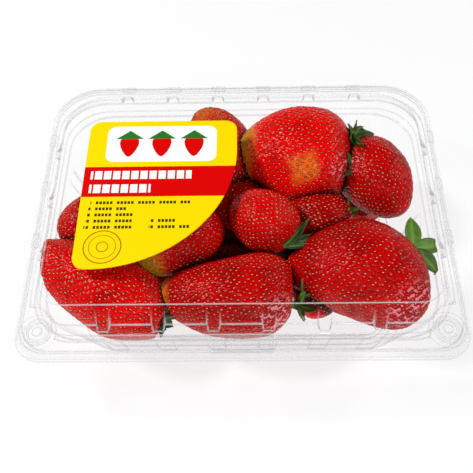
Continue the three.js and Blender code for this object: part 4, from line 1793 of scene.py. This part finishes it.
    def leaves(self, finish: bpy.types.Material) -> bpy.types.Object:
        """Make every crown leaf as one piece.

        Args:
            finish: the leaves' finish.

        Returns:
            The piece.
        """
        points, faces, veins, start = [], [], [], 0
        for number, crown in enumerate(self.crowns):
            draw = np.random.default_rng(300 + number)
            for i in range(crown.leaves):
                spots, sides, vein = self.leaf(crown, draw)
                share = (i + draw.uniform(-0.18, 0.18)) / crown.leaves
                turn = math.radians(crown.first + crown.sweep * share)
                around = np.array(Matrix.Rotation(turn, 3, "X"))
                placed = crown.placed(spots @ around.T)
                self.room.press(placed)
                points.append(placed)
                faces += [tuple(start + k for k in side) for side in sides]
                veins.append(vein)
                start += len(placed)
        piece = add_piece("crown_leaves", np.vstack(points), faces, finish, None)
        keep_values(piece, "vein", np.vstack(veins))
        thicken(piece, 0.35, 0.0)
        return piece

    def leaf(self, crown: Crown, draw: np.random.Generator) -> tuple[Array, list, Array]:
        """One leaf, from the crown's middle outwards along +Z.

        Args:
            crown: the crown that carries it.
            draw: the crown's own random numbers.

        Returns:
            Points on the crown's own axis, faces, and vein values.
        """
        rows, columns = 13, 7
        length = crown.length * draw.uniform(0.75, 1.15)
        width = crown.width * draw.uniform(0.8, 1.1)
        lift = crown.lift + crown.play * draw.uniform(-0.35, 0.35)
        curl = crown.play * draw.uniform(-0.6, 0.8)
        twist = draw.uniform(-0.5, 0.5)
        light = crown.light * draw.uniform(0.5, 1.3)
        points, veins = [], []
        for i in range(rows):
            t = i / (rows - 1)
            half = width / 2 * math.sin(math.pi * (0.06 + 0.94 * t ** 0.9)) ** 0.8 * (1.0 - 0.2 * t)
            bend = lift + curl * t
            out = length * t * math.cos(bend)
            rise = length * t * math.sin(bend)
            for j in range(columns):
                across = 2 * j / (columns - 1) - 1
                side = across * half
                cup = 0.25 * half * across * across + 0.2 * math.sin(8 * t + 3 * across)
                points.append((rise + cup + side * math.sin(twist * t),
                               side * math.cos(twist * t), 0.8 + out))
                veins.append((math.exp(-(across / 0.16) ** 2), light, t))
        faces = [(r * columns + c, r * columns + c + 1, (r + 1) * columns + c + 1, (r + 1) * columns + c)
                 for r in range(rows - 1) for c in range(columns - 1)]
        return np.array(points), faces, np.array(veins)

    def core(self, finish: bpy.types.Material) -> bpy.types.Object:
        """Make the dark core of painted shade that fills the heap's middle.

        Args:
            finish: its finish.

        Returns:
            The piece.
        """
        ball = bmesh.new()
        bmesh.ops.create_icosphere(ball, subdivisions=4, radius=1.0)
        points = np.array([vert.co for vert in ball.verts])
        faces = [[vert.index for vert in face.verts] for face in ball.faces]
        ball.free()
        points = np.sign(points) * np.abs(points) ** 0.8 * np.array([42.0, 20.0, 9.5])
        points += np.array([-2.0, -6.0, 13.0])
        points += np.array([noise.noise_vector(Vector(point) * 0.12) for point in points]) * 1.2
        return add_piece("heap_core", points, faces, finish, None)


@dataclass
class Studio:
    """Plain floor, soft lights and the camera at the photograph's angle."""

    target: tuple[float, float, float] = (-2.1, -15.9, 46.0)
    elevation: float = 58.0
    yaw: float = 1.83
    roll: float = -2.1
    distance: float = 309.9
    focal: float = 52.5

    def build(self) -> None:
        """Make the floor, the lights and the camera."""
        self.floor()
        self.sky()
        self.lamp("key", (-440, 40, 640), (110, 110), 3.7)
        self.lamp("front", (120, -560, 560), (120, 80), 1.4)
        self.lamp("side", (560, 100, 520), (80, 120), 1.5)
        self.camera()

    def floor(self) -> None:
        """Make the floor."""
        points = np.array([(-3000, -3000, 0), (3000, -3000, 0), (3000, 3000, 0), (-3000, 3000, 0)]) + 0.0
        floor = add_piece("floor", points, [(0, 1, 2, 3)], PaleFloor().material(), None)

    def sky(self) -> None:
        """Light the room evenly, less from straight above, so that the lid's top stays clear."""
        board = Board("studio", sky=True)
        upright = board.node("ShaderNodeSeparateXYZ", {}, {
            0: board.node("ShaderNodeTexCoord").outputs["Generated"]})
        light = board.node("ShaderNodeMapRange", {}, {
            "Value": upright.outputs["Z"], "From Min": 0.25, "From Max": 0.55, "To Min": 0.8, "To Max": 0.05})
        shade = board.node("ShaderNodeBackground", {}, {"Strength": light.outputs["Result"]})
        bpy.context.scene.world = board.finish(shade)

    def lamp(self, name: str, place: tuple[float, float, float], size: tuple[float, float],
             power: float) -> None:
        """Add one soft lamp aimed at the box.

        Args:
            name: the lamp's name.
            place: where it hangs, in millimetres.
            size: its width and height, in millimetres.
            power: watts.
        """
        light = bpy.data.lights.new(name, "AREA")
        light.shape = "RECTANGLE"
        light.size, light.size_y = size[0] * MM, size[1] * MM
        light.energy = power
        lamp = bpy.data.objects.new(name, light)
        bpy.context.scene.collection.objects.link(lamp)
        spot = Vector(place) * MM
        aim = Vector((0, 0, 30)) * MM - spot
        lamp.matrix_world = Matrix.Translation(spot) @ aim.to_track_quat("-Z", "Y").to_matrix().to_4x4()

    def camera(self) -> None:
        """Add the camera."""
        lens = bpy.data.cameras.new("camera")
        lens.lens = self.focal
        lens.sensor_width = 36.0
        lens.clip_start = 0.01
        camera = bpy.data.objects.new("camera", lens)
        bpy.context.scene.collection.objects.link(camera)
        up, side = math.radians(self.elevation), math.radians(self.yaw)
        back = Vector((math.sin(side) * math.cos(up), -math.cos(side) * math.cos(up), math.sin(up)))
        spot = (Vector(self.target) + back * self.distance) * MM
        level = (-back).to_track_quat("-Z", "Y").to_matrix().to_4x4()
        roll = Matrix.Rotation(math.radians(self.roll), 4, "Z")
        camera.matrix_world = Matrix.Translation(spot) @ level @ roll
        bpy.context.scene.camera = camera


def report(piece: bpy.types.Object) -> None:
    """Log one piece's name and size."""
    log.info("%s: %d points, %d faces", piece.name, len(piece.data.vertices), len(piece.data.polygons))


def main() -> None:
    """Build every piece round the frame."""
    logging.basicConfig(level=logging.INFO, format="%(name)s %(message)s")
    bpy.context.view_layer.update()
    form = BoxForm()
    clear = ClearSheet().material()
    Studio().build()

    lid = LidShell(form).build(clear)
    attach(lid, Body.LID.value)
    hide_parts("lid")
    tray = TrayShell(form).build(clear)
    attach(tray, Body.TRAY.value)
    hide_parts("tray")
    for piece in (lid, tray):
        thicken(piece, form.sheet)
    lid_forms, tray_forms = SmallForms(form).build(clear)
    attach(lid_forms, Body.LID.value)
    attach(tray_forms, Body.TRAY.value)
    for piece in (lid_forms, tray_forms):
        thicken(piece, form.sheet)

    crease = HingeCrease(form).build(clear)
    thicken(crease, 0.2)
    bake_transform(crease)

    label = Sticker(form).build(LabelPrint().material())
    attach(label, Body.LID.value)
    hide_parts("label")

    heap = StrawberryHeap(Room(form)).build(
        BerrySkin().material(), SeedCoat().material(), LeafGreen().material(), CoreShade().material())
    for piece in heap:
        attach(piece, Body.TRAY.value)
    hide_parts("strawberries")

    for piece in (lid, tray, lid_forms, tray_forms, crease, label, *heap):
        report(piece)

    scene = bpy.context.scene
    scene.view_settings.view_transform = "Standard"
    scene.cycles.transparent_max_bounces = 32


if __name__ == "__main__":
    main()
